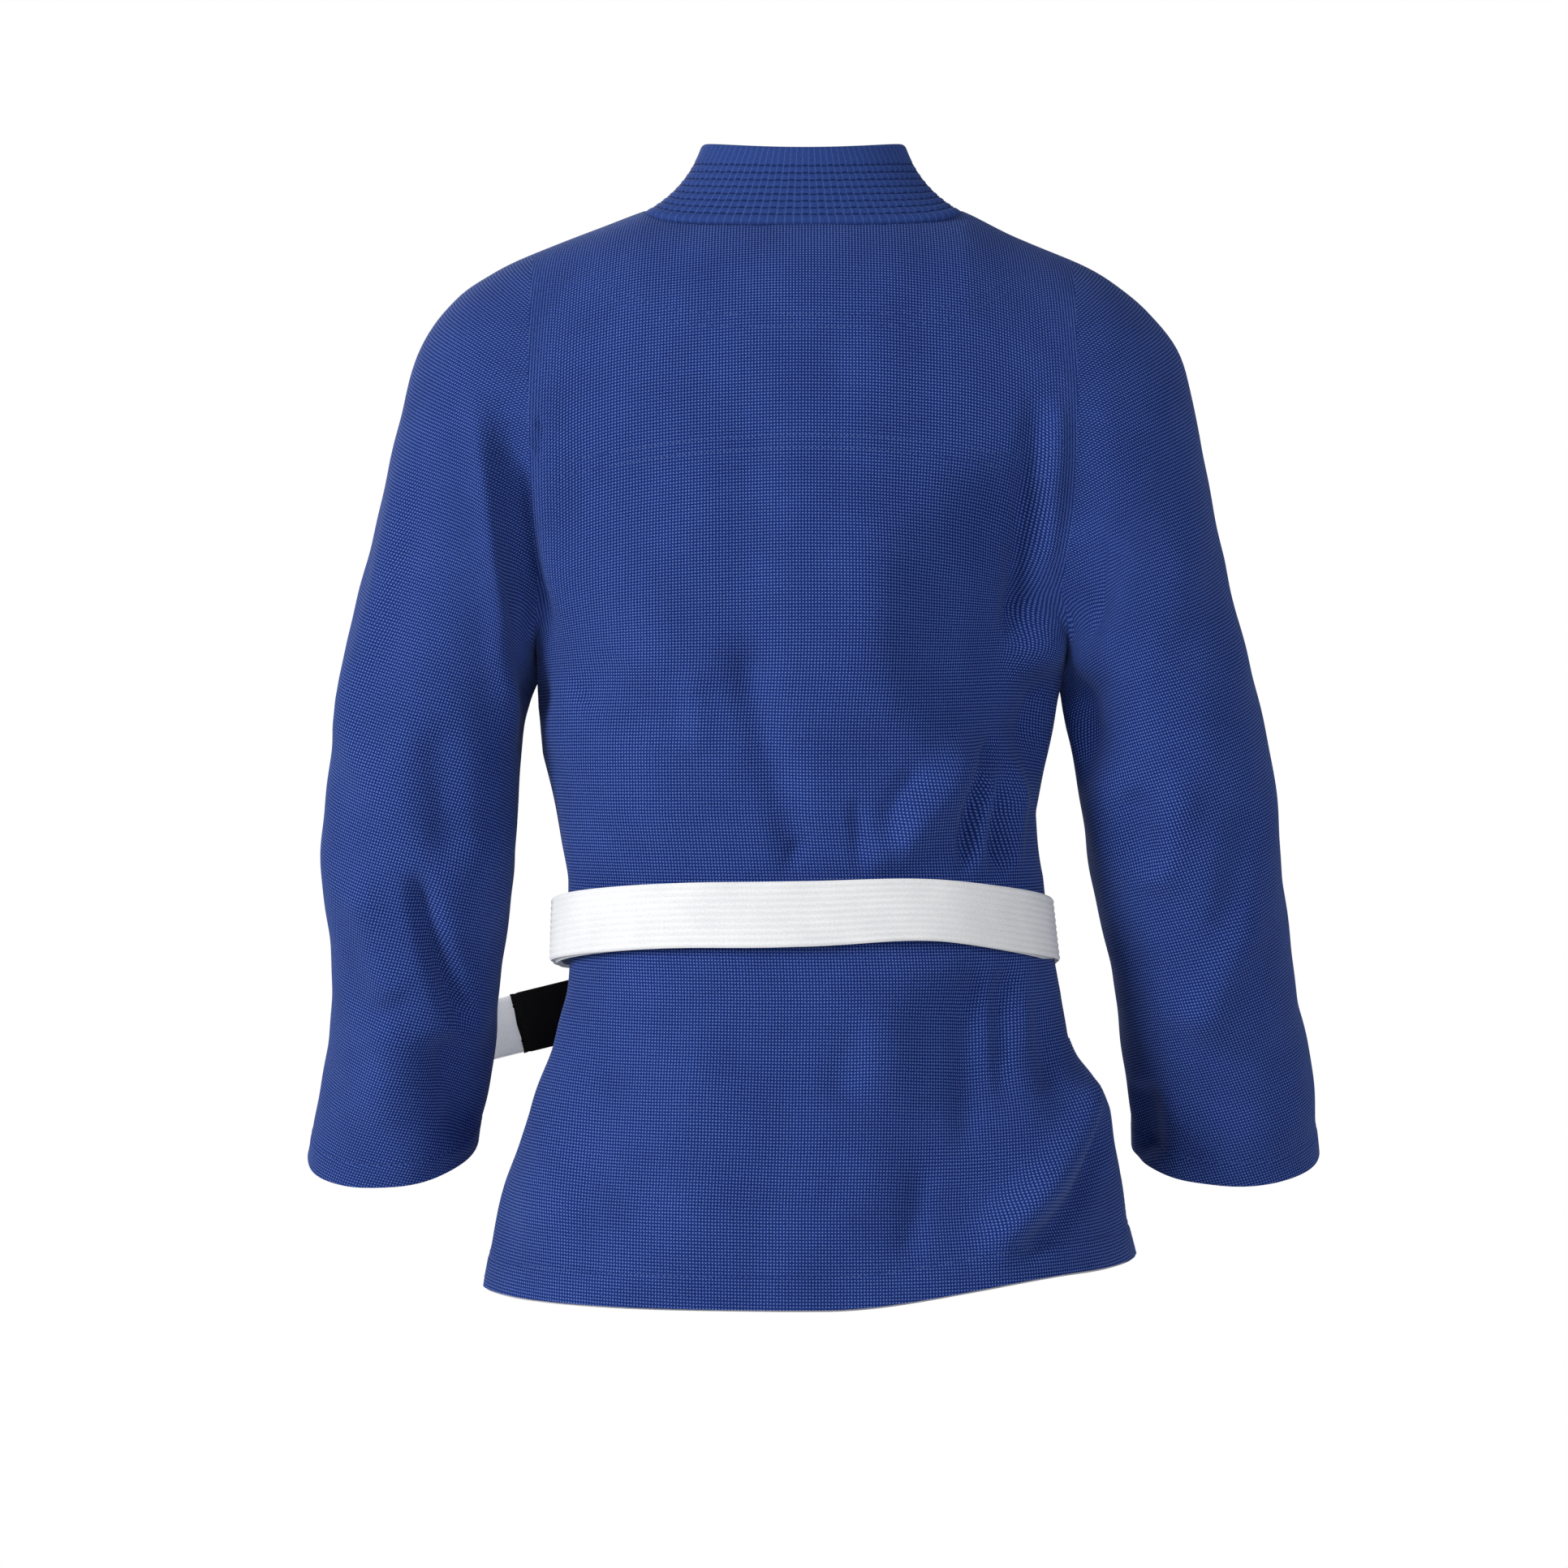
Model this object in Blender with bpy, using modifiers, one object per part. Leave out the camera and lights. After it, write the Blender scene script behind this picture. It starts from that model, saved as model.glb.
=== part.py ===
"""Belted grappling jacket as it hangs on a body: heavy cotton panels with side vents, two sleeves cut at
the armpit level so that they swing, a foam-filled collar strip, and a belt wound twice and tied in front.

Metres, +Z up. The wearer faces -Y, so the wearer's left is +X. The origin is on the shoulder line,
midway between the shoulders, where a hanger or the wearer carries the jacket.
"""
import math

import bpy
from mathutils import Matrix, Vector

# Cloth and gaps
CLOTH = 0.0022
TAPE = 0.0012
GAP = 0.0008
LINING_LIFT = -(CLOTH + 0.0026)

# Torso: height, half width, depth behind and depth in front of the shoulder line
TORSO = [
    (-0.300, 0.1780, 0.118, 0.110),
    (-0.390, 0.1640, 0.113, 0.108),
    (-0.445, 0.1600, 0.108, 0.106),
    (-0.480, 0.1610, 0.109, 0.107),
    (-0.553, 0.1740, 0.120, 0.118),
    (-0.616, 0.1960, 0.133, 0.131),
    (-0.676, 0.2080, 0.143, 0.140),
    (-0.722, 0.2180, 0.149, 0.146),
]
SQUARENESS = 2.4
ARMPIT_Z = TORSO[0][0]
VENT_Z = -0.553
HEM_Z = TORSO[-1][0]

# Shoulders and neck
ARMHOLE_X = 0.180
ARMHOLE_DEPTH = 0.092
SHOULDER_SLOPE = 0.38
NECK_HALF = 0.107
NECK_Z = 0.004
NECK_DIP = 0.05
UPPER = 0.300

# Collar strip: lies on the chest along a straight slanting line and stands up behind the neck
LAPEL_TOP_X = 0.090
LAPEL_SLOPE = 0.385
LAPEL_HALF = 0.0225
LAPEL_T = 0.006
COLLAR_TOP_HALF = 0.070
COLLAR_TOP_DEPTH = 0.045
COLLAR_TOP_Z = 0.048
COVER_T = 0.0010
LAPEL_LIFT = 0.0012
UNDER_LIFT = LINING_LIFT - TAPE - LAPEL_T - LAPEL_LIFT - GAP

# Sleeve rings: inner point (x, z), outer point (x, z), half depth and forward shift
CAP_RINGS = [
    ((0.1812, -0.300), (0.1812, -0.026), 0.092, 0.000),
    ((0.1835, -0.306), (0.208, -0.040), 0.092, 0.000),
    ((0.1855, -0.312), (0.235, -0.057), 0.090, 0.000),
    ((0.1868, -0.317), (0.257, -0.085), 0.086, 0.001),
    ((0.1876, -0.322), (0.272, -0.135), 0.082, 0.002),
    ((0.1882, -0.327), (0.288, -0.200), 0.077, 0.003),
    ((0.1888, -0.332), (0.301, -0.262), 0.073, 0.004),
    ((0.1895, -0.337), (0.3115, -0.322), 0.070, 0.004),
]
SLEEVE_RINGS = [
    ((0.1895, -0.3380), (0.3115, -0.3235), 0.070, 0.004),
    ((0.1915, -0.390), (0.322, -0.400), 0.069, 0.002),
    ((0.1925, -0.434), (0.326, -0.450), 0.068, -0.006),
    ((0.2050, -0.500), (0.322, -0.520), 0.065, -0.022),
    ((0.2120, -0.568), (0.3300, -0.580), 0.062, -0.044),
    ((0.2230, -0.632), (0.3420, -0.640), 0.060, -0.066),
]
RIGHT_SPREAD = 0.010
CUFF_HEIGHT = 0.028

# Belt
BELT_WIDTH = 0.042
BELT_T = 0.0035
BELT_Z = -0.483
BELT_RISE = 0.017
BELT_LIFT = 0.0018
BELT_OVER_LAPEL = 0.0072
KNOT_SIZE = (0.064, 0.024, 0.050)
KNOT = Vector((0.0, -0.1430, -0.505))
TAIL_LENGTH = 0.270
TAIL_ROOT = 0.012
TAIL_DROP = {"left": 13.9, "right": 50.0}
TAIL_LEAN = {"left": 2.0, "right": 15.0}
RANK_BAR_START = 0.115
RANK_BAR_LENGTH = 0.097

BLUE = (0.045, 0.082, 0.33, 1.0)
BELT_WHITE = (0.86, 0.86, 0.88, 1.0)
BLACK = (0.006, 0.006, 0.007, 1.0)
TAPE_GREY = (0.62, 0.62, 0.64, 1.0)
FOAM = (0.10, 0.10, 0.11, 1.0)

SIDES = {"left": 1, "right": -1}


def clear_scene():
    for obj in list(bpy.data.objects):
        bpy.data.objects.remove(obj, do_unlink=True)


def make_material(name, colour, roughness):
    material = bpy.data.materials.new(name)
    material.use_nodes = True
    shader = material.node_tree.nodes["Principled BSDF"]
    shader.inputs["Base Color"].default_value = colour
    shader.inputs["Roughness"].default_value = roughness
    shader.inputs["Metallic"].default_value = 0.0
    return material


def smoothstep(value, low, high):
    share = min(max((value - low) / (high - low), 0.0), 1.0)
    return share * share * (3 - 2 * share)


def mix(first, second, share):
    return first * (1 - share) + second * share


def spread(low, high, count):
    return [low + (high - low) * i / (count - 1) for i in range(count)]


def torso_size(z):
    """Half width, back depth and front depth at a height, on a smooth curve through the stations."""
    z = min(max(z, TORSO[-1][0]), TORSO[0][0])
    k = next(i for i in range(len(TORSO) - 1) if z >= TORSO[i + 1][0])
    before, start, end, after = (TORSO[min(max(k + i, 0), len(TORSO) - 1)] for i in (-1, 0, 1, 2))
    t = (start[0] - z) / (start[0] - end[0])
    sizes = []
    for c in (1, 2, 3):
        slope_in = (end[c] - before[c]) / 2
        slope_out = (after[c] - start[c]) / 2
        sizes.append((2 * t**3 - 3 * t**2 + 1) * start[c] + (t**3 - 2 * t**2 + t) * slope_in
                     + (3 * t**2 - 2 * t**3) * end[c] + (t**3 - t**2) * slope_out)
    return sizes


def shoulder_line(x):
    if abs(x) > NECK_HALF:
        return NECK_Z - SHOULDER_SLOPE * (abs(x) - NECK_HALF)
    return NECK_Z + 0.006 * (1 - (x / NECK_HALF) ** 2)


def body_face(angle, height):
    """Outer face of the body cloth. The angle is 0 at the wearer's left side and 90 degrees behind; the
    height counts from the armpit level, and its last UPPER metres rise to the shoulder line."""
    cosine, sine = math.cos(angle), math.sin(angle)
    across = math.copysign(abs(cosine) ** (2 / SQUARENESS), cosine)
    out = abs(sine) ** (2 / SQUARENESS)
    half_width, back, front = torso_size(ARMPIT_Z + height)
    behind = sine >= 0
    depth = (back if behind else front) * out
    z = ARMPIT_Z + height
    if height > 0:
        t = min(height / UPPER, 1.0)
        half_width += (ARMHOLE_X - half_width) * t
        z = ARMPIT_Z + t * (shoulder_line(half_width * across) - ARMPIT_Z)
        fall = (1 - t**5) ** 0.5 if behind else (1 - t**3) ** 0.55
        depth = depth * fall + ARMHOLE_DEPTH * 2 * math.sqrt(t * (1 - t)) * (1 - out)
    return Vector((half_width * across, depth if behind else -depth, z))


def body_normal(angle, height):
    step = 0.0004
    top = min(height + step, UPPER)
    around = body_face(angle + step, height) - body_face(angle - step, height)
    upward = body_face(angle, top) - body_face(angle, height - step)
    return around.cross(upward).normalized()


def body_point(angle, height, lift=0.0):
    return body_face(angle, height) + body_normal(angle, height) * lift


def front_angle(x, height):
    """The angle on the front where the body face has this x."""
    half_width = torso_size(ARMPIT_Z + height)[0]
    if height > 0:
        half_width += (ARMHOLE_X - half_width) * min(height / UPPER, 1.0)
    across = max(min(x / half_width, 0.999), -0.999)
    cosine = math.copysign(abs(across) ** (SQUARENESS / 2), across)
    return 2 * math.pi - math.acos(cosine)


def back_angle(x, height):
    return 2 * math.pi - front_angle(x, height)


def under_lift(x, z):
    """How far the right front lies under the left one: nothing at its side seam and near the neck."""
    return UNDER_LIFT * smoothstep(x, -0.160, -0.115) * (1 - smoothstep(z, -0.20, -0.08))


def place(name, mesh, material, parent=None):
    obj = bpy.data.objects.new(name, mesh)
    mesh.materials.append(material)
    COLLECTION.objects.link(obj)
    if parent:
        obj.parent = parent
        obj.matrix_parent_inverse = parent.matrix_world.inverted()
    return obj


def loft(name, rows, material, thickness=0.0, parent=None, closed=False, capped=False, turned=False):
    """A sheet through rows of points. Each row runs round the body and the rows follow each other up;
    thickness grows inwards. A closed row joins its ends, and caps close both ends of a solid."""
    width = len(rows[0])
    points = [point for row in rows for point in row]
    faces = []
    for r in range(len(rows) - 1):
        for c in range(width if closed else width - 1):
            d = (c + 1) % width
            faces.append((r * width + c, r * width + d, (r + 1) * width + d, (r + 1) * width + c))
    if capped:
        faces.append(tuple(reversed(range(width))))
        faces.append(tuple(range((len(rows) - 1) * width, len(rows) * width)))
    if turned:
        faces = [tuple(reversed(face)) for face in faces]
    mesh = bpy.data.meshes.new(name)
    mesh.from_pydata([tuple(point) for point in points], [], faces)
    mesh.shade_smooth()
    mesh.set_sharp_from_angle(angle=math.radians(40))
    obj = place(name, mesh, material, parent)
    if thickness:
        shell = obj.modifiers.new("Thickness", "SOLIDIFY")
        shell.thickness = thickness
        shell.offset = -1.0
    return obj


def patch(name, heights, ends, columns, lift, material, thickness=CLOTH, parent=None):
    """A panel of body cloth. ends(height) gives its two angles and lift(point) its layer."""
    rows = []
    for height in heights:
        start, end = ends(height)
        row = []
        for angle in spread(start, end, columns):
            face = body_face(angle, height)
            row.append(body_point(angle, height, lift(face)))
        rows.append(row)
    return loft(name, rows, material, thickness, parent)


def flat(_):
    return 0.0


def lining(_):
    return LINING_LIFT


def under(face):
    return under_lift(face.x, face.z)


def hinge(name, location):
    empty = bpy.data.objects.new(name, None)
    empty.location = location
    COLLECTION.objects.link(empty)
    bpy.context.view_layer.update()
    return empty


def seam_angle(height):
    """Half the gap between two panels at the side seam, as an angle."""
    depth = torso_size(ARMPIT_Z + height)[1]
    return (GAP / depth) ** (SQUARENESS / 2)


def body_seams(side, height):
    return side * seam_angle(height)


UPPER_STEPS = [UPPER * 0.99995 * (1 - (1 - share) ** 2.6) for share in spread(0.0, 1.0, 11)]
LOWER_STEPS = spread(VENT_Z - ARMPIT_Z + GAP, 0.0, 8)
SKIRT_STEPS = spread(HEM_Z - ARMPIT_Z, VENT_Z - ARMPIT_Z - GAP, 6)


def lapel_x(side, z):
    """Middle of the lapel; it turns straight down below the vents' level."""
    return side * (LAPEL_TOP_X + LAPEL_SLOPE * max(z, VENT_Z))


def front_ends(side):
    """Angles of a front panel, from its side seam to the middle of its lapel; near the neck it stops at
    the lapel's sewn edge."""
    def ends(height):
        z = ARMPIT_Z + height
        short = (LAPEL_HALF + 0.006) * smoothstep(z, -0.13, -0.06)
        edge = front_angle(lapel_x(side, z) + side * short, height)
        if side > 0:
            return edge, 2 * math.pi - seam_angle(height)
        return math.pi + seam_angle(height), edge
    return ends


def make_back_panel():
    def ends(height):
        return seam_angle(height), math.pi - seam_angle(height)
    heights = LOWER_STEPS + UPPER_STEPS[1:]
    rows = []
    for height in heights:
        start, end = ends(height)
        row = []
        for angle in spread(start, end, 29):
            x = body_face(angle, height).x
            dip = NECK_DIP * math.sqrt(max(1 - (x / NECK_HALF) ** 2, 0.0))
            row.append(body_point(angle, height * (1 - dip) if height > 0 else height))
        rows.append(row)
    loft("back_panel", rows, CLOTH_BLUE, CLOTH)


def make_fronts():
    heights = LOWER_STEPS + UPPER_STEPS[1:]
    patch("left_front_panel", heights, front_ends(1), 15, flat, CLOTH_BLUE)
    patch("right_front_panel", heights, front_ends(-1), 15, under, CLOTH_BLUE)


def make_yoke():
    """Second layer inside the upper back; its lower edge is a shallow arch."""
    def ends(height):
        reach = 0.150 - 0.02 * height / UPPER
        return back_angle(reach, height), back_angle(-reach, height)
    rows = []
    for share in spread(0.0, 1.0, 7):
        row = []
        for across in spread(-1.0, 1.0, 17):
            low = 0.148 - 0.024 * across**2
            height = mix(low, 0.262, share)
            start, end = ends(height)
            row.append(body_point(mix(start, end, (across + 1) / 2), height, LINING_LIFT))
        rows.append(row)
    loft("shoulder_yoke", rows, CLOTH_BLUE, TAPE)


def make_side_pieces(name, side):
    """Gusset, seam tape and vent patch, all sewn inside along the side seam."""
    middle = 0.0 if side > 0 else math.pi

    def band(low, high, widest, narrowest):
        def ends(height):
            share = abs(2 * (height - low) / (high - low) - 1)
            half = mix(widest, narrowest, share) / 0.115
            half = half ** (SQUARENESS / 2)
            return middle - half, middle + half
        return ends
    spans = [
        (f"{name}_armpit_gusset", -0.100, -0.006, 0.034, 0.004),
        (f"{name}_side_tape", VENT_Z - ARMPIT_Z + 0.034, -0.104, 0.008, 0.008),
        (f"{name}_vent_patch", VENT_Z - ARMPIT_Z + 0.002, VENT_Z - ARMPIT_Z + 0.031, 0.014, 0.014),
    ]
    for node, low, high, widest, narrowest in spans:
        patch(node, spread(low, high, 6), band(low, high, widest, narrowest), 7, lining, CLOTH_BLUE,
              TAPE)


def make_back_skirt():
    pivot = hinge("back_skirt_hinge", (0.0, torso_size(VENT_Z)[1], VENT_Z))
    patch("back_skirt", SKIRT_STEPS, lambda h: (seam_angle(h), math.pi - seam_angle(h)), 29, flat,
          CLOTH_BLUE, parent=pivot)
    low = HEM_Z - ARMPIT_Z + 0.001
    edge = 0.016
    for name, middle, turn in (("left", 0.0, 1), ("right", math.pi, -1)):
        def ends(height, middle=middle, turn=turn):
            near = middle + turn * seam_angle(height) * 2
            far = middle + turn * (edge / 0.13) ** (SQUARENESS / 2)
            return min(near, far), max(near, far)
        patch(f"back_{name}_vent_tape", spread(low, VENT_Z - ARMPIT_Z - 0.003, 6), ends, 4, lining,
              TAPE_MATERIAL, TAPE, pivot)
    inset = ((edge + 0.002) / 0.13) ** (SQUARENESS / 2)
    patch("back_hem_tape", spread(low, low + 0.020, 3), lambda h: (inset, math.pi - inset), 21, lining,
          TAPE_MATERIAL, TAPE, pivot)


def make_front_skirts():
    pivot = hinge("front_skirt_hinge", (0.0, -torso_size(VENT_Z)[2] - LAPEL_T - GAP, VENT_Z))
    low = HEM_Z - ARMPIT_Z + 0.001
    edge = 0.016
    for name, side in SIDES.items():
        layer = flat if side > 0 else under
        def inner(face, layer=layer):
            return layer(face) + LINING_LIFT
        ends = front_ends(side)
        patch(f"{name}_front_skirt", SKIRT_STEPS, ends, 15, layer, CLOTH_BLUE, parent=pivot)
        seam_end = 2 * math.pi if side > 0 else math.pi
        def tape_ends(height, side=side, seam_end=seam_end):
            near = seam_end - side * 2 * seam_angle(height)
            far = seam_end - side * (edge / 0.13) ** (SQUARENESS / 2)
            return min(near, far), max(near, far)
        patch(f"{name}_front_vent_tape", spread(low, VENT_Z - ARMPIT_Z - 0.003, 6), tape_ends, 4, inner,
              TAPE_MATERIAL, TAPE, pivot)
        def hem_ends(height, side=side, seam_end=seam_end, ends=ends):
            far = seam_end - side * ((edge + 0.002) / 0.13) ** (SQUARENESS / 2)
            middle = ends(height)[0] if side > 0 else ends(height)[1]
            return (middle, far) if side > 0 else (far, middle)
        patch(f"{name}_front_hem_tape", spread(low, low + 0.020, 3), hem_ends, 13, inner,
              TAPE_MATERIAL, TAPE, pivot)
        make_lapel_end(name, side, pivot)


def lapel_edges(side, height):
    """Sewn edge, middle, free edge and normal of the lapel where it lies on the chest or the skirt."""
    z = ARMPIT_Z + height
    middle = lapel_x(side, z)
    slant = LAPEL_SLOPE if z > VENT_Z else 0.0
    along = math.hypot(1.0, slant)
    step_x, step_z = side * LAPEL_HALF / along, LAPEL_HALF * slant / along
    edges = []
    for end in (1, 0, -1):
        at = min(height - end * step_z, UPPER)
        x = middle + end * step_x
        angle = front_angle(x, at)
        lift = LAPEL_LIFT + (under(body_face(angle, at)) if side < 0 else 0.0)
        edges.append(body_point(angle, at, lift))
    return *edges, body_normal(front_angle(middle, height), height)


def strip_ring(sewn, middle, free, normal, inset=0.0):
    """Section of the collar strip: a loop from its sewn edge to its free edge and back."""
    across = (free - sewn).normalized() * inset
    near = [sewn + across, middle, free - across]
    inner = [point + normal * inset for point in near]
    outer = [point + normal * (LAPEL_T - inset) for point in near]
    return inner + outer[::-1]


def make_lapel_end(name, side, pivot):
    rows = []
    for height in SKIRT_STEPS:
        rows.append(strip_ring(*lapel_edges(side, height)))
    loft(f"{name}_lapel_end", rows, COLLAR_BLUE, parent=pivot, closed=True, capped=True, turned=side < 0)


def collar_half(side):
    """Stations of the collar strip from the middle of the neck, over one shoulder, down to the vents."""
    stations = []
    for turn in spread(90, 0, 8):
        cosine, sine = math.cos(math.radians(turn)), math.sin(math.radians(turn))
        x = side * NECK_HALF * cosine
        height = UPPER * (1 - NECK_DIP * sine)
        sewn = body_face(back_angle(x, height), height) + Vector((0, 0.001, 0.003))
        free = Vector((side * COLLAR_TOP_HALF * cosine, COLLAR_TOP_DEPTH * sine, COLLAR_TOP_Z))
        outward = Vector((side * cosine, sine * 1.2, 0.25)).normalized()
        stations.append((sewn, mix(sewn, free, 0.5), free, outward))
    sewn_side, _, free_side, normal_side = stations[-1]
    direction_side = (free_side - sewn_side).normalized()
    heights = [0.288, 0.276, 0.26, 0.24, 0.21, 0.17, 0.13, 0.09, 0.045, 0.0]
    heights += spread(-0.03, VENT_Z - ARMPIT_Z + 0.0095, 8)
    for height in heights:
        sewn, middle, free, normal = lapel_edges(side, height)
        crown = middle - mix(sewn, free, 0.5)
        share = smoothstep(height, 0.19, 0.299)
        direction = mix((free - sewn).normalized(), direction_side, share).normalized()
        sewn = mix(sewn, sewn_side, smoothstep(height, 0.24, 0.30))
        normal = mix(normal, normal_side, share)
        normal = (normal - direction * normal.dot(direction)).normalized()
        middle = sewn + direction * LAPEL_HALF + crown * (1 - share)
        stations.append((sewn, middle, sewn + direction * 2 * LAPEL_HALF, normal))
    return stations


def make_collar():
    left, right = collar_half(1), collar_half(-1)
    stations = list(reversed(left)) + right[1:]
    outer = [strip_ring(*station) for station in stations]
    loft("collar_cover", outer, COLLAR_BLUE, COVER_T, closed=True)
    inset = COVER_T + 1.5 * GAP
    inner = [strip_ring(*station, inset) for station in stations[1:-1]]
    loft("collar_core", inner, FOAM_MATERIAL, closed=True, capped=True)


def ring_points(ring, side, shrink=0.0, count=20):
    """Points round one sleeve ring: an ellipse between its inner and outer points."""
    (inner_x, inner_z), (outer_x, outer_z), depth, forward = ring
    spread_out = RIGHT_SPREAD * smoothstep(-outer_z, 0.30, 0.64) if side < 0 else 0.0
    inner = Vector((inner_x + spread_out, forward, inner_z))
    outer = Vector((outer_x + spread_out, forward, outer_z))
    centre = (inner + outer) / 2
    half = (outer - inner) / 2
    half = half * (1 - shrink / half.length)
    points = []
    for i in range(count):
        turn = 2 * math.pi * i / count
        point = centre + half * math.cos(turn) + Vector((0, (depth - shrink) * math.sin(turn), 0))
        points.append(Vector((side * point.x, point.y, point.z)))
    return points


def cuff_ring(share, side, shrink=0.0):
    """A ring part of the way along the last stretch of the sleeve, as points."""
    before = ring_points(SLEEVE_RINGS[-2], side, shrink)
    last = ring_points(SLEEVE_RINGS[-1], side, shrink)
    return [mix(a, b, share) for a, b in zip(before, last)]


def make_sleeve(name, side):
    cap = [ring_points(ring, side) for ring in CAP_RINGS]
    loft(f"{name}_sleeve_cap", cap, CLOTH_BLUE, CLOTH, closed=True, turned=side > 0)
    outer_x, outer_z = SLEEVE_RINGS[0][1]
    pivot = hinge(f"{name}_sleeve_hinge", (side * outer_x, 0.0, outer_z))
    sleeve = [ring_points(ring, side) for ring in SLEEVE_RINGS]
    loft(f"{name}_sleeve", sleeve, CLOTH_BLUE, CLOTH, pivot, closed=True, turned=side > 0)
    length = (SLEEVE_RINGS[-2][0][1] - SLEEVE_RINGS[-1][0][1])
    shrink = CLOTH + GAP
    cuff = [cuff_ring(share, side, shrink) for share in (1 - CUFF_HEIGHT / length, 1 - 0.001 / length)]
    loft(f"{name}_cuff_tape", cuff, TAPE_MATERIAL, TAPE, pivot, closed=True, turned=side > 0)


def belt_lift(angle, layer):
    """The belt lies close behind and rides over the lapels in front."""
    over = BELT_OVER_LAPEL * smoothstep(-math.sin(angle), 0.0, 0.4)
    return BELT_LIFT + over + BELT_T + layer * (BELT_T + GAP)


def make_wrap(name, layer):
    rows = []
    for rise in (-0.5, 0.0, 0.5):
        row = []
        for i in range(48):
            angle = 2 * math.pi * i / 48
            height = BELT_Z + BELT_RISE * math.sin(angle) + rise * BELT_WIDTH - ARMPIT_Z
            row.append(body_point(angle, height, belt_lift(angle, layer)))
        rows.append(row)
    loft(name, rows, BELT_MATERIAL, BELT_T, closed=True)


def bevelled_box(name, size, matrix, material, bevel, parent=None):
    bpy.ops.mesh.primitive_cube_add(size=1.0)
    cube = bpy.context.object
    mesh = cube.data
    bpy.data.objects.remove(cube)
    mesh.transform(matrix @ Matrix.Diagonal((*size, 1.0)))
    obj = place(name, mesh, material, parent)
    round_off = obj.modifiers.new("Round", "BEVEL")
    round_off.width = bevel
    round_off.segments = 2
    return obj


def tail_frame(name, side, layer):
    """Axes of a belt tail: +X along it, +Y across its thickness, starting at the knot's front."""
    drop, lean = math.radians(TAIL_DROP[name]), math.radians(TAIL_LEAN[name])
    along = Vector((side * math.cos(drop), 0, -math.sin(drop)))
    along = (along * math.cos(lean) + Vector((0, -math.sin(lean), 0))).normalized()
    across = Vector((0, 1, 0)) - along * along.y
    across.normalize()
    height = along.cross(across)
    front = KNOT.y - KNOT_SIZE[1] / 2 - GAP - BELT_T / 2 - layer * (BELT_T + 0.0020)
    turn = Matrix((along, across, height)).transposed().to_4x4()
    return Matrix.Translation((KNOT.x, front, KNOT.z)) @ turn


def make_tail(name, side, layer):
    frame = tail_frame(name, side, layer)
    pivot = hinge(f"{name}_tail_hinge", frame.translation)
    middle = (TAIL_ROOT + TAIL_LENGTH) / 2
    matrix = frame @ Matrix.Translation((middle, 0, 0))
    bevelled_box(f"{name}_belt_tail", (TAIL_LENGTH - TAIL_ROOT, BELT_T, BELT_WIDTH), matrix,
                 BELT_MATERIAL, 0.0008, pivot)
    return frame, pivot


def make_rank_bar(frame, pivot):
    """A flat cloth sleeve sewn round the left tail."""
    half_t = BELT_T / 2 + GAP + TAPE
    half_w = BELT_WIDTH / 2 + GAP + TAPE
    rows = []
    for x in (RANK_BAR_START, RANK_BAR_START + RANK_BAR_LENGTH):
        corners = [(half_t, -half_w), (half_t, half_w), (-half_t, half_w), (-half_t, -half_w)]
        rows.append([frame @ Vector((x, y, z)) for y, z in corners])
    loft("rank_bar", rows, BLACK_MATERIAL, TAPE, pivot, closed=True)


def make_belt():
    make_wrap("belt_inner_wrap", 0)
    make_wrap("belt_outer_wrap", 1)
    bevelled_box("belt_knot", KNOT_SIZE, Matrix.Translation(KNOT), BELT_MATERIAL, 0.007)
    frame, pivot = make_tail("left", 1, 0)
    make_rank_bar(frame, pivot)
    make_tail("right", -1, 1)


clear_scene()
COLLECTION = bpy.data.collections.new("grappling_jacket")
bpy.context.scene.collection.children.link(COLLECTION)
CLOTH_BLUE = make_material("pearl_weave_blue", BLUE, 0.85)
COLLAR_BLUE = make_material("collar_ripstop_blue", BLUE, 0.8)
BELT_MATERIAL = make_material("belt_cotton_white", BELT_WHITE, 0.8)
BLACK_MATERIAL = make_material("rank_bar_black", BLACK, 0.8)
TAPE_MATERIAL = make_material("cotton_tape", TAPE_GREY, 0.85)
FOAM_MATERIAL = make_material("collar_foam", FOAM, 0.9)

make_back_panel()
make_fronts()
make_yoke()
for side_name, side_sign in SIDES.items():
    make_side_pieces(side_name, side_sign)
make_back_skirt()
make_front_skirts()
make_collar()
for side_name, side_sign in SIDES.items():
    make_sleeve(side_name, side_sign)
make_belt()
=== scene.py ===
"""Looks of a belted grappling jacket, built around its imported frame: pearl-weave cloth with folds,
a quilted collar strip, a ridged cotton belt with its knot and tails, and its seams and stitches.

All sizes are in metres unless a table says millimetres, +Z up. The wearer faces -Y and the wearer's
left is +X.
"""
import math

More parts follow.
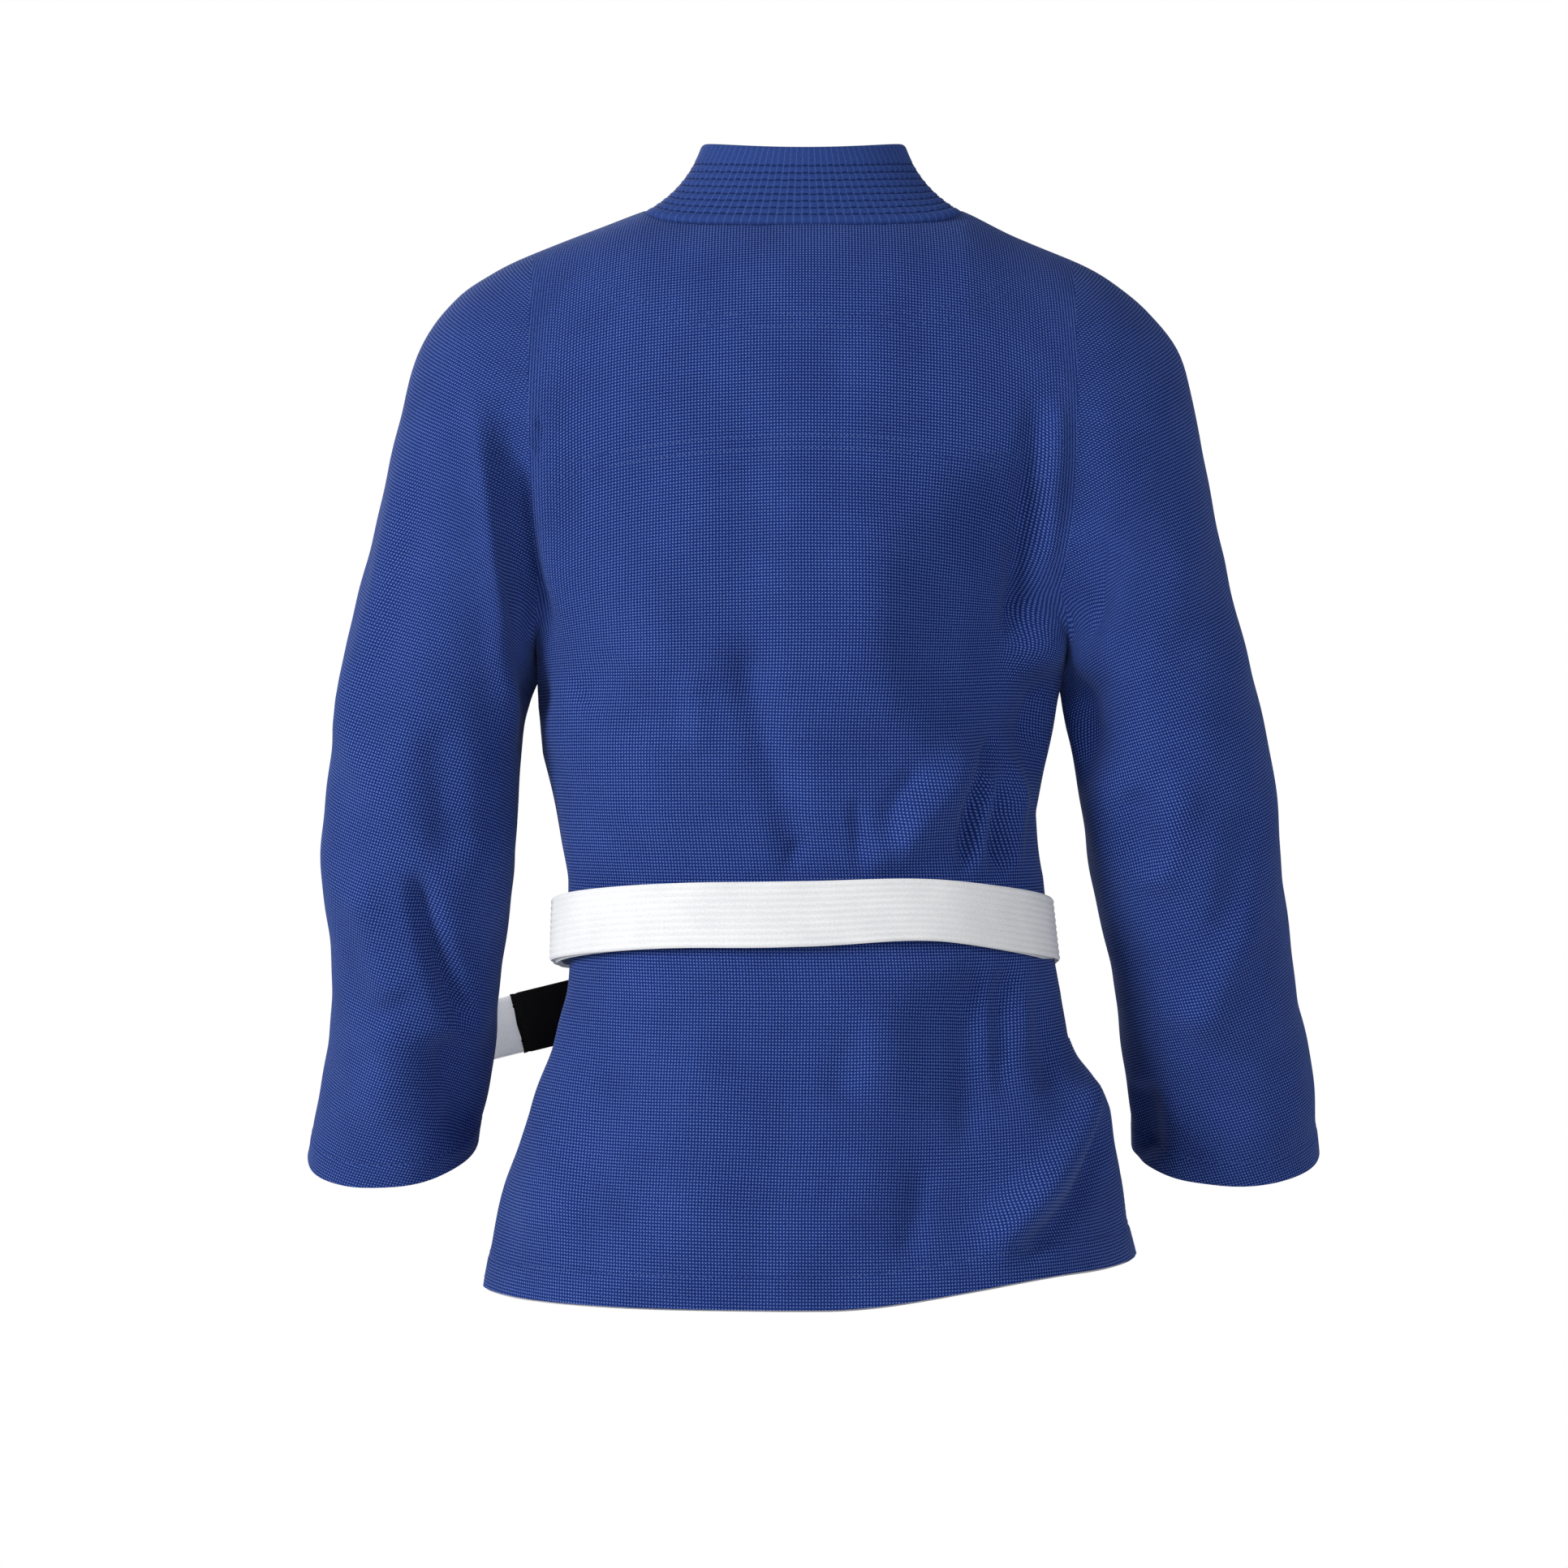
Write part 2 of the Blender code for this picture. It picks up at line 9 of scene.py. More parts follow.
import bmesh
import bpy
import numpy as np
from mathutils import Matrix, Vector


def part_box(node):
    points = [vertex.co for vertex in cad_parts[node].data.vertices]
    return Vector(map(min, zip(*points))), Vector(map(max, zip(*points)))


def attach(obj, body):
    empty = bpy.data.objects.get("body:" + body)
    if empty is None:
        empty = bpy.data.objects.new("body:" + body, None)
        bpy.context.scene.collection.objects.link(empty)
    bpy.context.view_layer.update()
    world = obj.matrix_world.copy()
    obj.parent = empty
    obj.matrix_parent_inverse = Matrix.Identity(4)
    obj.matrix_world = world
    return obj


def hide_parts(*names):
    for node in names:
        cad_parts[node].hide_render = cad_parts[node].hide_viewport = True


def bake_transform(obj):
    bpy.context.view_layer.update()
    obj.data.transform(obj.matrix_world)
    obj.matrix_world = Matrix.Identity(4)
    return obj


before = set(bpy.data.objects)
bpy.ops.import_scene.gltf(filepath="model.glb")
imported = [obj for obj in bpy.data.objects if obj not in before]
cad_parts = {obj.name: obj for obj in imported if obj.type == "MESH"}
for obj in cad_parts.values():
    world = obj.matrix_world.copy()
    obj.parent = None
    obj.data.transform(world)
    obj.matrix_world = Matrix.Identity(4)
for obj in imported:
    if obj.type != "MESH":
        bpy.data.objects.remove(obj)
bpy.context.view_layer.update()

TAU = 2 * math.pi
MM = 1000


def node_points(*names):
    return np.array([vert.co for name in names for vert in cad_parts[name].data.vertices])


# Levels and widths that the frame gives
BACK_LOW, BACK_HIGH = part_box("back_panel")
HEM_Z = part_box("back_skirt")[0].z
VENT_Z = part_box("back_skirt")[1].z
ARMHOLE_X = BACK_HIGH.x
ARMPIT_Z = -0.300
UPPER = 0.300
SQUARENESS = 2.4
ARMHOLE_DEPTH = 0.092
ARMHOLE_HALF = 0.137
SHOULDER_SLOPE = 0.38
NECK_HALF = 0.107
NECK_Z = 0.004
NECK_DIP = 0.05
BELT_LOW, BELT_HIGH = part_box("belt_outer_wrap")
BELT_WIDTH = 0.042
BELT_RISE = (BELT_HIGH.z - BELT_LOW.z - BELT_WIDTH) / 2
BELT_Z = (BELT_HIGH.z + BELT_LOW.z) / 2
BELT_T = 0.0035

# Cloth
CLOTH = 0.0020
TAPE = 0.0008
LAPEL_T = 0.0065
LAPEL_HALF = 0.0225
LAPEL_LIFT = 0.0006
UNDER_LIFT = -0.0118
HEM_WIDTH = 0.022
VENT_BAND = 0.0075
CUFF_WIDTH = 0.019
WEAVE_PITCH = 0.00206


def smooth(value, low, high):
    share = np.clip((np.asarray(value, float) - low) / (high - low), 0.0, 1.0)
    return share * share * (3 - 2 * share)


def smoothed(rows, width):
    """Rows of values averaged over this many neighbours, both ends staying where they are."""
    kernel = np.hanning(width)
    padded = np.pad(rows, ((width // 2, width // 2), (0, 0)), mode="reflect", reflect_type="odd")
    kernel = kernel / kernel.sum()
    return np.stack([np.convolve(column, kernel, mode="valid") for column in padded.T], 1)


def run_along(points):
    """How far each point of a line is from its start, measured along it."""
    return np.concatenate([[0.0], np.cumsum(np.linalg.norm(np.diff(points, axis=0), axis=1))])


def looked_up(where, known, values, period=None):
    """Rows of values, given at known places, found at other places."""
    return np.stack([np.interp(where, known, column, period=period) for column in values.T], 1)


def unit(vectors):
    length = np.linalg.norm(vectors, axis=-1, keepdims=True)
    return vectors / np.maximum(length, 1e-12)


def spline(points, count):
    """Catmull-Rom through rows of values, resampled to a number of rows."""
    points = np.asarray(points, float)
    padded = np.concatenate([2 * points[:1] - points[1:2], points, 2 * points[-1:] - points[-2:-1]])
    where = np.linspace(0, len(points) - 1, count)
    k = np.minimum(where.astype(int), len(points) - 2)
    t = (where - k).reshape(-1, *([1] * (points.ndim - 1)))
    p0, p1, p2, p3 = (padded[k + i] for i in range(4))
    return 0.5 * (2 * p1 + (p2 - p0) * t + (2 * p0 - 5 * p1 + 4 * p2 - p3) * t**2
                  + (3 * p1 - p0 - 3 * p2 + p3) * t**3)


# ---------------------------------------------------------------- the body's plain form


def frame_levels():
    """Height, half width, depth behind and depth in front, at each row of the CAD body's points."""
    back = node_points("back_panel", "back_skirt")
    front = node_points("left_front_panel", "left_front_skirt")
    levels, counts = np.unique(np.round(back[:, 2], 3), return_counts=True)
    rows = []
    for z in levels[(counts >= 24) & (levels < ARMPIT_Z + 0.002)]:
        near_back = back[np.abs(back[:, 2] - z) < 0.0008]
        near_front = front[np.abs(front[:, 2] - z) < 0.0015]
        rows.append((z, near_back[:, 0].max(), near_back[:, 1].max(), -near_front[:, 1].min()))
    return np.array(rows)


LEVELS = frame_levels()
LEVEL_Z = np.linspace(HEM_Z, ARMPIT_Z, 200)


def level_curve(column):
    """One size of the body against height, with the corners between the CAD rows taken off."""
    dense = np.interp(LEVEL_Z, LEVELS[:, 0], LEVELS[:, column])
    return smoothed(dense[:, None], 27)[:, 0]


SIZES = [level_curve(column) for column in (1, 2, 3)]


# How far each side hangs outside the frame's even outline, as (z, distance) in millimetres
LEFT_SIDE = ((-722, -3), (-660, -3.5), (-615, -7), (-561, -7.5), (-506, -6),
             (-445, 0), (-423.5, 3), (-363, 10), (-330, 8), (-300, 1.5))
RIGHT_SIDE = ((-722, -1), (-660, -1), (-580, 3), (-522.5, 7), (-445.5, 2),
              (-401.5, -6), (-363, -3), (-330, -2), (-300, 0))


def body_face(angle, height, even=False):
    """Outer face of the body cloth without folds. The angle is 0 at the wearer's left side and 90
    degrees behind. The height counts from the armpit, and UPPER metres reach the shoulder."""
    angle, height = np.broadcast_arrays(np.asarray(angle, float), np.asarray(height, float))
    cosine, sine = np.cos(angle), np.sin(angle)
    across = np.sign(cosine) * np.abs(cosine) ** (2 / SQUARENESS)
    out = np.abs(sine) ** (2 / SQUARENESS)
    flat = (1 - across**2) ** 1.5
    out = out + (flat - out) * smooth(height, 0.0, 0.110)
    behind = sine >= 0
    level = np.minimum(ARMPIT_Z + height, ARMPIT_Z)
    half_width, back, front = (np.interp(level, LEVEL_Z, size) for size in SIZES)
    depth = np.where(behind, back, front) * out
    t = np.clip(height / UPPER, 0.0, 1.0)
    half_width = half_width + (ARMHOLE_X - half_width) * t
    x = half_width * across
    slope = NECK_Z - SHOULDER_SLOPE * (np.abs(x) - NECK_HALF)
    crown = NECK_Z + 0.006 * (1 - (x / NECK_HALF) ** 2)
    top = np.where(np.abs(x) > NECK_HALF, slope, crown) - 0.0035 * smooth(-x, 0.108, 0.150)
    z = np.where(height > 0, ARMPIT_Z + t * (top - ARMPIT_Z), level)
    fall = np.where(behind, np.sqrt(1 - t**5), (1 - t**3) ** 0.55)
    depth = depth * fall + ARMHOLE_DEPTH * 2 * np.sqrt(t * (1 - t)) * (1 - out)
    if not even:
        left, right = (np.interp(z, *np.array(side).T / MM) for side in (LEFT_SIDE, RIGHT_SIDE))
        x = x + np.where(x > 0, left, -right) * np.abs(across) ** 3
    return np.stack([x, np.where(behind, depth, -depth), z], axis=-1)


def body_angle(x, height, behind):
    """The angle at which the body face has this x, on the back or on the front."""
    level = np.minimum(ARMPIT_Z + np.asarray(height, float), ARMPIT_Z)
    half_width = np.interp(level, LEVEL_Z, SIZES[0])
    half_width = half_width + (ARMHOLE_X - half_width) * np.clip(np.asarray(height) / UPPER, 0, 1)
    across = np.clip(x / half_width, -0.9995, 0.9995)
    turn = np.arccos(np.sign(across) * np.abs(across) ** (SQUARENESS / 2))
    return turn if behind else TAU - turn


def under_lift(x, z):
    """The right front lies under the left one, except at its side seam and near the neck."""
    return UNDER_LIFT * smooth(x, -0.160, -0.110) * (1 - smooth(z, -0.20, -0.08))


# ---------------------------------------------------------------- folds


# Each fold is a soft crease or ridge, in millimetres: its line of (x, z) points, its half width,
# and its height, which is negative for a crease.
BACK_FOLDS = [
    # the broad fall of the back from its ridge towards the right armpit, and the flatter left side
    ([(-150, -170), (-146, -290), (-150, -390)], 60, -24),
    ([(-48, -200), (-52, -280), (-60, -350)], 24, 5.5),
    ([(100, -180), (110, -330)], 50, 3.5),
    # centre of the back and the pinches just above the belt
    ([(45, -90), (42, -230), (40, -348)], 20, -4),
    ([(35, -285), (32, -327), (12, -398), (6, -446)], 13, -8),
    ([(15, -448), (2, -418)], 5, -4.5),
    ([(-33, -390), (-37, -448)], 5, -4),
    ([(75, -308), (66, -366)], 10, 3.8),
    ([(118, -300), (150, -330)], 14, -3.6),
    # hollow beside the right shoulder blade and the gathers that run from it to the belt
    ([(-84, -235), (-88, -330)], 26, -6),
    ([(-40, -450), (-78, -404), (-122, -352)], 14, 11),
    ([(-60, -450), (-58, -400), (-78, -372)], 8.5, -5),
    ([(-104, -450), (-107, -410), (-116, -384), (-146, -352)], 5.5, -9.5),
    ([(-112, -450), (-118, -400), (-131, -368)], 5.5, 6),
    ([(-127, -450), (-128, -415), (-134, -378)], 4.5, -7.5),
    ([(-138, -450), (-142, -405), (-151, -360)], 5.5, 6),
    # the back turns in beside each sleeve
    ([(-152, -130), (-149, -178), (-151.5, -215), (-152.5, -245), (-156, -280),
      (-159, -296)], 8.8, -12.8),
    ([(-134, -150), (-137, -215), (-145, -290)], 15, -5),
    ([(-166, -130), (-165, -190), (-166, -250)], 7, 4.5),
    ([(184, -160), (181, -205), (177.5, -243), (170.5, -276), (165.5, -305)],
     5.5, -9.5),
    ([(195, -130), (191, -205), (187, -250), (182, -290), (179, -345)],
     12.5, -11.5),
    ([(175.5, -143), (169, -156)], 2.4, -3),
    ([(178, -156), (171.2, -167)], 2.4, -3),
    # skirt
    ([(-100, -500), (-110, -590), (-105, -700)], 45, -13.5),
    ([(-113, -476), (-112, -560), (-108, -625)], 11, -4.5),
    ([(-124, -480), (-125, -566)], 6.5, 2.2),
    ([(-134, -476), (-137, -592)], 6.5, -4),
    ([(-148, -480), (-151, -562)], 6.5, 2.8),
    ([(-160, -520), (-166, -588)], 6, -4.5),
    ([(-192, -574), (-180, -612), (-155, -648), (-110, -688)], 12, 14),
    ([(-203, -598), (-184, -650), (-135, -692)], 8, -8.5),
    ([(-36, -530), (-20, -588)], 13, -4),
    ([(-80, -625), (-66, -688)], 9, -3.5),
    ([(158, -500), (172, -690)], 20, 4),
    ([(60, -560), (64, -700)], 26, 3),
    ([(12, -520), (6, -680)], 24, -2.5),
    # left sleeve from behind
    ([(218, -120), (207, -190), (202, -240), (198.5, -300), (196, -390)],
     8.5, 8.5),
    ([(252, -140), (272, -227), (290, -292), (302, -340), (284, -400)],
     10.5, 6),
    ([(243, -340), (232, -440)], 15, -6),
    ([(258, -440), (243, -495), (223, -556)], 8.5, -13),
    ([(240, -548), (229, -630)], 15, -11),
    ([(300, -440), (285, -500), (270, -530)], 14, 5),
    ([(275, -540), (292, -620)], 16, 3.5),
    # right sleeve from behind
    ([(-196, -115), (-203, -200), (-206, -320)], 16, 3),
    ([(-252, -376), (-234, -456)], 14, 6.5),
    ([(-214, -385), (-232, -445)], 12, -6),
    ([(-275, -490), (-296, -395)], 12, -4),
    ([(-258, -555), (-305, -460)], 15, 4.5),
    ([(-228, -585), (-235, -642)], 11, -9),
    ([(-245, -310), (-290, -235)], 20, -4.5),
]
FRONT_FOLDS = [
    ([(130, -200), (60, -360), (20, -460)], 16, -5),
    ([(150, -300), (90, -400), (60, -470)], 10, 4.5),
    ([(120, -420), (112, -475)], 6, -4.5),
    ([(150, -380), (140, -480)], 6, -4),
    ([(-140, -200), (-120, -340), (-130, -450)], 14, -5),
    ([(-155, -380), (-145, -480)], 6, 4),
    ([(60, -520), (90, -690)], 16, -5),
    ([(120, -520), (150, -700)], 14, 5),
    ([(-20, -530), (-10, -700)], 18, 4),
    ([(-150, -520), (-170, -690)], 12, -4),
    ([(205, -160), (200, -300)], 8, -6),
    ([(-205, -160), (-200, -300)], 8, -6),
    ([(300, -400), (235, -440)], 7, -6),
    ([(305, -440), (235, -475)], 8, 5),
    ([(300, -470), (225, -510)], 7, -5.5),
    ([(-310, -400), (-240, -440)], 7, -6),
    ([(-315, -440), (-240, -475)], 8, 5),
    ([(-310, -475), (-235, -515)], 7, -5.5),
    ([(280, -530), (300, -620)], 12, 3.5),
    ([(-285, -530), (-305, -620)], 12, 3.5),
]


def fold_height(x, z, line, width, height):
    """A smooth ridge along the line, fading out at both ends."""
    path = spline(line, 14) if len(line) > 2 else np.linspace(line[0], line[1], 14)
    best = np.full(x.shape, 1e9)
    along = np.zeros(x.shape)
    for i in range(len(path) - 1):
        start, step = path[i], path[i + 1] - path[i]
        share = ((x - start[0]) * step[0] + (z - start[1]) * step[1]) / (step @ step)
        low = -0.6 if i == 0 else 0.0
        high = 1.6 if i == len(path) - 2 else 1.0
        share = np.clip(share, low, high)
        away = np.hypot(x - start[0] - share * step[0], z - start[1] - share * step[1])
        along = np.where(away < best, (i + share) / (len(path) - 1), along)
        best = np.minimum(best, away)
    fade = smooth(along, -0.04, 0.22) * smooth(1 - along, -0.04, 0.22)
    return height * np.exp(-(best / width) ** 2) * fade


def soft_waves(points, seed, size, height):
    """Gentle unevenness of hung cloth: a few sine waves in fixed random directions."""
    rng = np.random.default_rng(seed)
    total = np.zeros(points.shape[:-1])
    for _ in range(7):
        direction = unit(rng.normal(size=3) * np.array([1.0, 0.7, 0.6]))
        length = size * rng.uniform(0.7, 1.5)
        total += np.sin(points @ direction * TAU / length + rng.uniform(0, TAU))
    return total * height / math.sqrt(7)


def relief(points, normals):
    """How far folds lift each point of the garment along its normal."""
    x, y, z = points[..., 0], points[..., 1], points[..., 2]
    behind = smooth(normals[..., 1], 0.0, 0.35)
    ahead = smooth(-normals[..., 1], 0.0, 0.35)
    total = np.zeros(x.shape)
    for folds, share in ((BACK_FOLDS, behind), (FRONT_FOLDS, ahead)):
        for line, width, height in folds:
            total += fold_height(x, z, np.array(line) / MM, width / MM, height / MM) * share
    calm = 1 - 0.75 * smooth(z, -0.15, -0.02)
    belted = smooth(np.abs(z - BELT_Z - BELT_RISE * np.clip(y / 0.1, -1, 1)), 0.018, 0.045)
    total += (soft_waves(points, 11, 0.110, 0.0016) + soft_waves(points, 5, 0.050, 0.00060)) * calm
    # the seams hold the cloth flat at the armpits
    total = total * smooth(np.hypot(np.abs(x) - 0.177, z - ARMPIT_Z - 0.004), 0.004, 0.034)
    near_belt = (np.abs(x) < 0.185) & (z > -0.56) & (z < -0.41)
    return total * np.where(near_belt, belted, 1.0)


def grid_normals(points, closed=False):
    if closed:
        around = np.roll(points, -1, axis=1) - np.roll(points, 1, axis=1)
    else:
        around = np.gradient(points, axis=1)
    return unit(np.cross(around, np.gradient(points, axis=0)))


class Sheet:
    """A grid of cloth points. Rows run up the piece; at(u, v, lift) gives any point of it, with u
    and v the shares of the way across and up."""

    def __init__(self, points, closed=False):
        self.points = points
        self.plain = points
        self.closed = closed
        self.normals = grid_normals(points, closed)

    def _sample(self, grid, u, v):
        rows, columns = grid.shape[:2]
        v = np.clip(np.asarray(v, float), 0, 1) * (rows - 1)
        u = np.asarray(u, float)
        u = (u % 1.0) * columns if self.closed else np.clip(u, 0, 1) * (columns - 1)
        r = np.minimum(v.astype(int), rows - 2)
        c = np.floor(u).astype(int) if self.closed else np.minimum(u.astype(int), columns - 2)
        fr, fc = (v - r)[..., None], (u - c)[..., None]
        d = (c + 1) % columns
        c = c % columns
        low = grid[r, c] * (1 - fc) + grid[r, d] * fc
        high = grid[r + 1, c] * (1 - fc) + grid[r + 1, d] * fc
        return low * (1 - fr) + high * fr

    def at(self, u, v, lift=0.0):
        return self._sample(self.points, u, v) + self.normal(u, v) * np.asarray(lift)[..., None]

    def normal(self, u, v):
        return unit(self._sample(self.normals, u, v))


# ---------------------------------------------------------------- meshes and materials


def metric_uvs(points, closed, grain=0.0):
    """Distances in metres across and up each piece, so that the weave keeps its real size. The
    grain is the angle of the threads to the piece's columns."""
    columns = points.shape[1]
    ring = np.concatenate([points, points[:, :1]], axis=1) if closed else points
    steps = np.linalg.norm(np.diff(ring, axis=1), axis=-1)
    u = np.concatenate([np.zeros((len(points), 1)), np.cumsum(steps, axis=1)], axis=1)
    u = u - u[:, [columns // 2]]
    rise = np.linalg.norm(np.diff(ring, axis=0), axis=-1)
    v = np.concatenate([np.zeros((1, rise.shape[1])), np.cumsum(rise, axis=0)])
    v = v - v[len(points) // 2]
    return u * math.cos(grain) - v * math.sin(grain), u * math.sin(grain) + v * math.cos(grain)


def placed(name, data):
    obj = bpy.data.objects.new(name, data)
    bpy.context.scene.collection.objects.link(obj)
    return obj


def grid_mesh(name, points, closed=False, plain=None, grain=0.0, flip=False, even_rows=False):
    """The grid as a mesh. The plain points are the same cloth without its folds, which gives the
    weave straight threads."""
    rows, columns = points.shape[:2]
    u, v = metric_uvs(points if plain is None else plain, closed, grain)
    if even_rows:
        v = np.broadcast_to(run_along(points.mean(axis=1))[:, None], v.shape)
    wide = columns if closed else columns - 1
    r, c = np.meshgrid(np.arange(rows - 1), np.arange(wide), indexing="ij")
    r, c = r.ravel(), c.ravel()
    d = (c + 1) % columns
    low, high = r * columns, (r + 1) * columns
    quads = np.stack([low + c, low + d, high + d, high + c], 1)
    e = c + 1
    corners = ((r, c), (r, e), (r + 1, e), (r + 1, c))
    uv = np.stack([np.stack([u[corner], v[corner]], 1) for corner in corners], 1)
    if flip:
        quads = quads[:, ::-1]
        uv = uv[:, ::-1]
    mesh = bpy.data.meshes.new(name)
    mesh.from_pydata(points.reshape(-1, 3).tolist(), [], quads.tolist())
    layer = mesh.uv_layers.new(name="UVMap")
    layer.data.foreach_set("uv", uv.reshape(-1).astype(np.float32))
    mesh.shade_smooth()
    return placed(name, mesh)


def finish_piece(obj, material):
    """Gives the piece its material and its slot."""
    obj.data.materials.append(material)
    return obj


def fasten(piece, body, *nodes):
    """The piece rides on one body, in place of the solids that it stands for."""
    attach(piece, body)
    if nodes:
        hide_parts(*nodes)


def skirt_blend(piece):
    """The piece's placing baked into its mesh."""
    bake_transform(piece)
    return piece


def thicken(obj, thickness):
    """Gives the cloth its thickness inwards, with its cut edges kept crisp so that two pieces that
    meet look like one."""
    mesh = obj.data
    edges = np.zeros(len(mesh.loops), int)
    mesh.loops.foreach_get("edge_index", edges)
    mesh.edges.foreach_set("use_edge_sharp", np.bincount(edges, minlength=len(mesh.edges)) == 1)
    shell = obj.modifiers.new("Thickness", "SOLIDIFY")
    shell.thickness = thickness
    shell.offset = -1.0
    return obj


class Nodes:
    """Short names for building one material's node tree."""

    def __init__(self, name):
        self.material = bpy.data.materials.new(name)
        self.material.use_nodes = True
        self.tree = self.material.node_tree
        self.shader = self.tree.nodes["Principled BSDF"]

    def new(self, kind, **settings):
        node = self.tree.nodes.new(kind)
        for key, value in settings.items():
            setattr(node, key, value)
        return node

    def put(self, value, socket):
        if isinstance(value, bpy.types.NodeSocket):
            self.tree.links.new(value, socket)
        else:
            socket.default_value = value

    def math(self, operation, *values):
        node = self.new("ShaderNodeMath", operation=operation)
        for value, socket in zip(values, node.inputs):
            self.put(value, socket)
        return node.outputs[0]

    def uv(self):
        node = self.new("ShaderNodeUVMap", uv_map="UVMap")
        split = self.new("ShaderNodeSeparateXYZ")
        self.tree.links.new(node.outputs["UV"], split.inputs[0])
        return node.outputs["UV"], split.outputs["X"], split.outputs["Y"]

    def wave(self, value, pitch):
        return self.math("SINE", self.math("MULTIPLY", value, TAU / pitch))

    def noise(self, vector, scale, detail=2.0):
        node = self.new("ShaderNodeTexNoise")
        settings = {"Vector": vector, "Scale": scale, "Detail": detail, "Roughness": 0.5}
        for key, value in settings.items():
            self.put(value, node.inputs[key])
        return node.outputs["Fac"]

    def ramp(self, value, stops):
        node = self.new("ShaderNodeValToRGB")
        elements = node.color_ramp.elements
        while len(elements) < len(stops):
            elements.new(0.5)
        for element, (position, colour) in zip(elements, stops):
            element.position = position
            element.color = (*colour, 1.0)
        self.put(value, node.inputs[0])
        return node.outputs["Color"]

    def mix(self, share, first, second, blend="MIX"):
        node = self.new("ShaderNodeMix", data_type="RGBA", blend_type=blend)
        self.put(share, node.inputs["Factor"])
        for value, socket in ((first, node.inputs[6]), (second, node.inputs[7])):
            self.put((*value, 1.0) if isinstance(value, tuple) else value, socket)
        return node.outputs[2]

    def bump(self, height, distance, strength=1.0, under=None):
        node = self.new("ShaderNodeBump")
        self.put(strength, node.inputs["Strength"])
        self.put(distance, node.inputs["Distance"])
        self.put(height, node.inputs["Height"])
        if under is not None:
            self.put(under, node.inputs["Normal"])
        return node.outputs[0]

    def finish(self, colour, normal, roughness, sheen=0.0, sheen_tint=(1.0, 1.0, 1.0)):
        self.put(colour, self.shader.inputs["Base Color"])
        self.put(normal, self.shader.inputs["Normal"])
        self.put(roughness, self.shader.inputs["Roughness"])
        self.shader.inputs["Sheen Weight"].default_value = sheen
        self.shader.inputs["Sheen Roughness"].default_value = 0.45
        self.shader.inputs["Sheen Tint"].default_value = (*sheen_tint, 1.0)
        self.shader.inputs["Specular IOR Level"].default_value = 0.09
        return self.material


BLUE_DEEP = (0.0012, 0.0060, 0.062)
BLUE_MID = (0.0062, 0.0240, 0.158)
BLUE_THREAD = (0.1120, 0.1800, 0.440)
COLLAR_DEEP = (0.0110, 0.0310, 0.140)
COLLAR_LIGHT = (0.0270, 0.0590, 0.225)
COLLAR_RIB = (0.0700, 0.1150, 0.350)
BLUE_SHEEN = (0.45, 0.60, 1.0)
WHITE_COTTON = (0.77, 0.77, 0.77)
WHITE_SHADE = (0.62, 0.62, 0.63)
BLACK_COTTON = (0.0026, 0.0026, 0.0028)
BLACK_SHADE = (0.0015, 0.0015, 0.0016)
TAPE_GREY = (0.55, 0.55, 0.57)


def pearl_weave(name):
    """Pearl weave: small raised seeds of thread in a square grid, as the product of two waves."""
    n = Nodes(name)
    uv, u, v = n.uv()
    wander = n.noise(uv, 22.0, 3.0)
    rows = [n.math("MULTIPLY_ADD", n.wave(way, WEAVE_PITCH), 0.5, 0.5) for way in (u, v)]
    dots = n.math("POWER", n.math("MULTIPLY", *rows), 1.6)
    fine = n.noise(uv, 1100.0, 1.0)
    tone = n.math("ADD", dots, n.math("MULTIPLY", n.math("SUBTRACT", fine, 0.32), 0.60))
    colour = n.ramp(tone, [(0.0, BLUE_DEEP), (0.16, BLUE_MID), (0.85, BLUE_THREAD)])
    patchy = n.ramp(wander, [(0.30, (0.88, 0.88, 0.90)), (0.70, (1.08, 1.07, 1.05))])
    colour = n.mix(1.0, colour, patchy, "MULTIPLY")
    slub = n.bump(wander, 0.0012, 0.35)
    normal = n.bump(dots, 0.00045, 0.9, under=slub)
    return n.finish(colour, normal, 0.88, 0.10, BLUE_SHEEN)


def collar_cloth(name):
    """Fine ribbed cover of the collar: upright ribs, one to each stitch of the rows across them."""
    n = Nodes(name)
    uv, u, v = n.uv()
    rib = n.math("ABSOLUTE", n.wave(v, 2 * COLLAR_STITCH))
    valley = n.math("SUBTRACT", 1.0, n.math("POWER", rib, 0.30))
    line = n.math("POWER", n.math("SUBTRACT", 1.0, rib), 7.0)
    twill = n.wave(n.math("ADD", n.math("MULTIPLY", u, 0.7), v), 0.0011)
    grain = n.noise(uv, 800.0, 2.0)
    tone = n.math("MULTIPLY_ADD", twill, 0.10, n.math("MULTIPLY", grain, 0.9))
    colour = n.ramp(tone, [(0.20, COLLAR_DEEP), (0.70, COLLAR_LIGHT)])
    colour = n.mix(n.math("MULTIPLY", line, 0.75), colour, COLLAR_RIB)
    normal = n.bump(tone, 0.0002, 0.5)
    normal = n.bump(valley, 0.0006, -0.6, under=normal)
    return n.finish(colour, normal, 0.85, 0.06, BLUE_SHEEN)


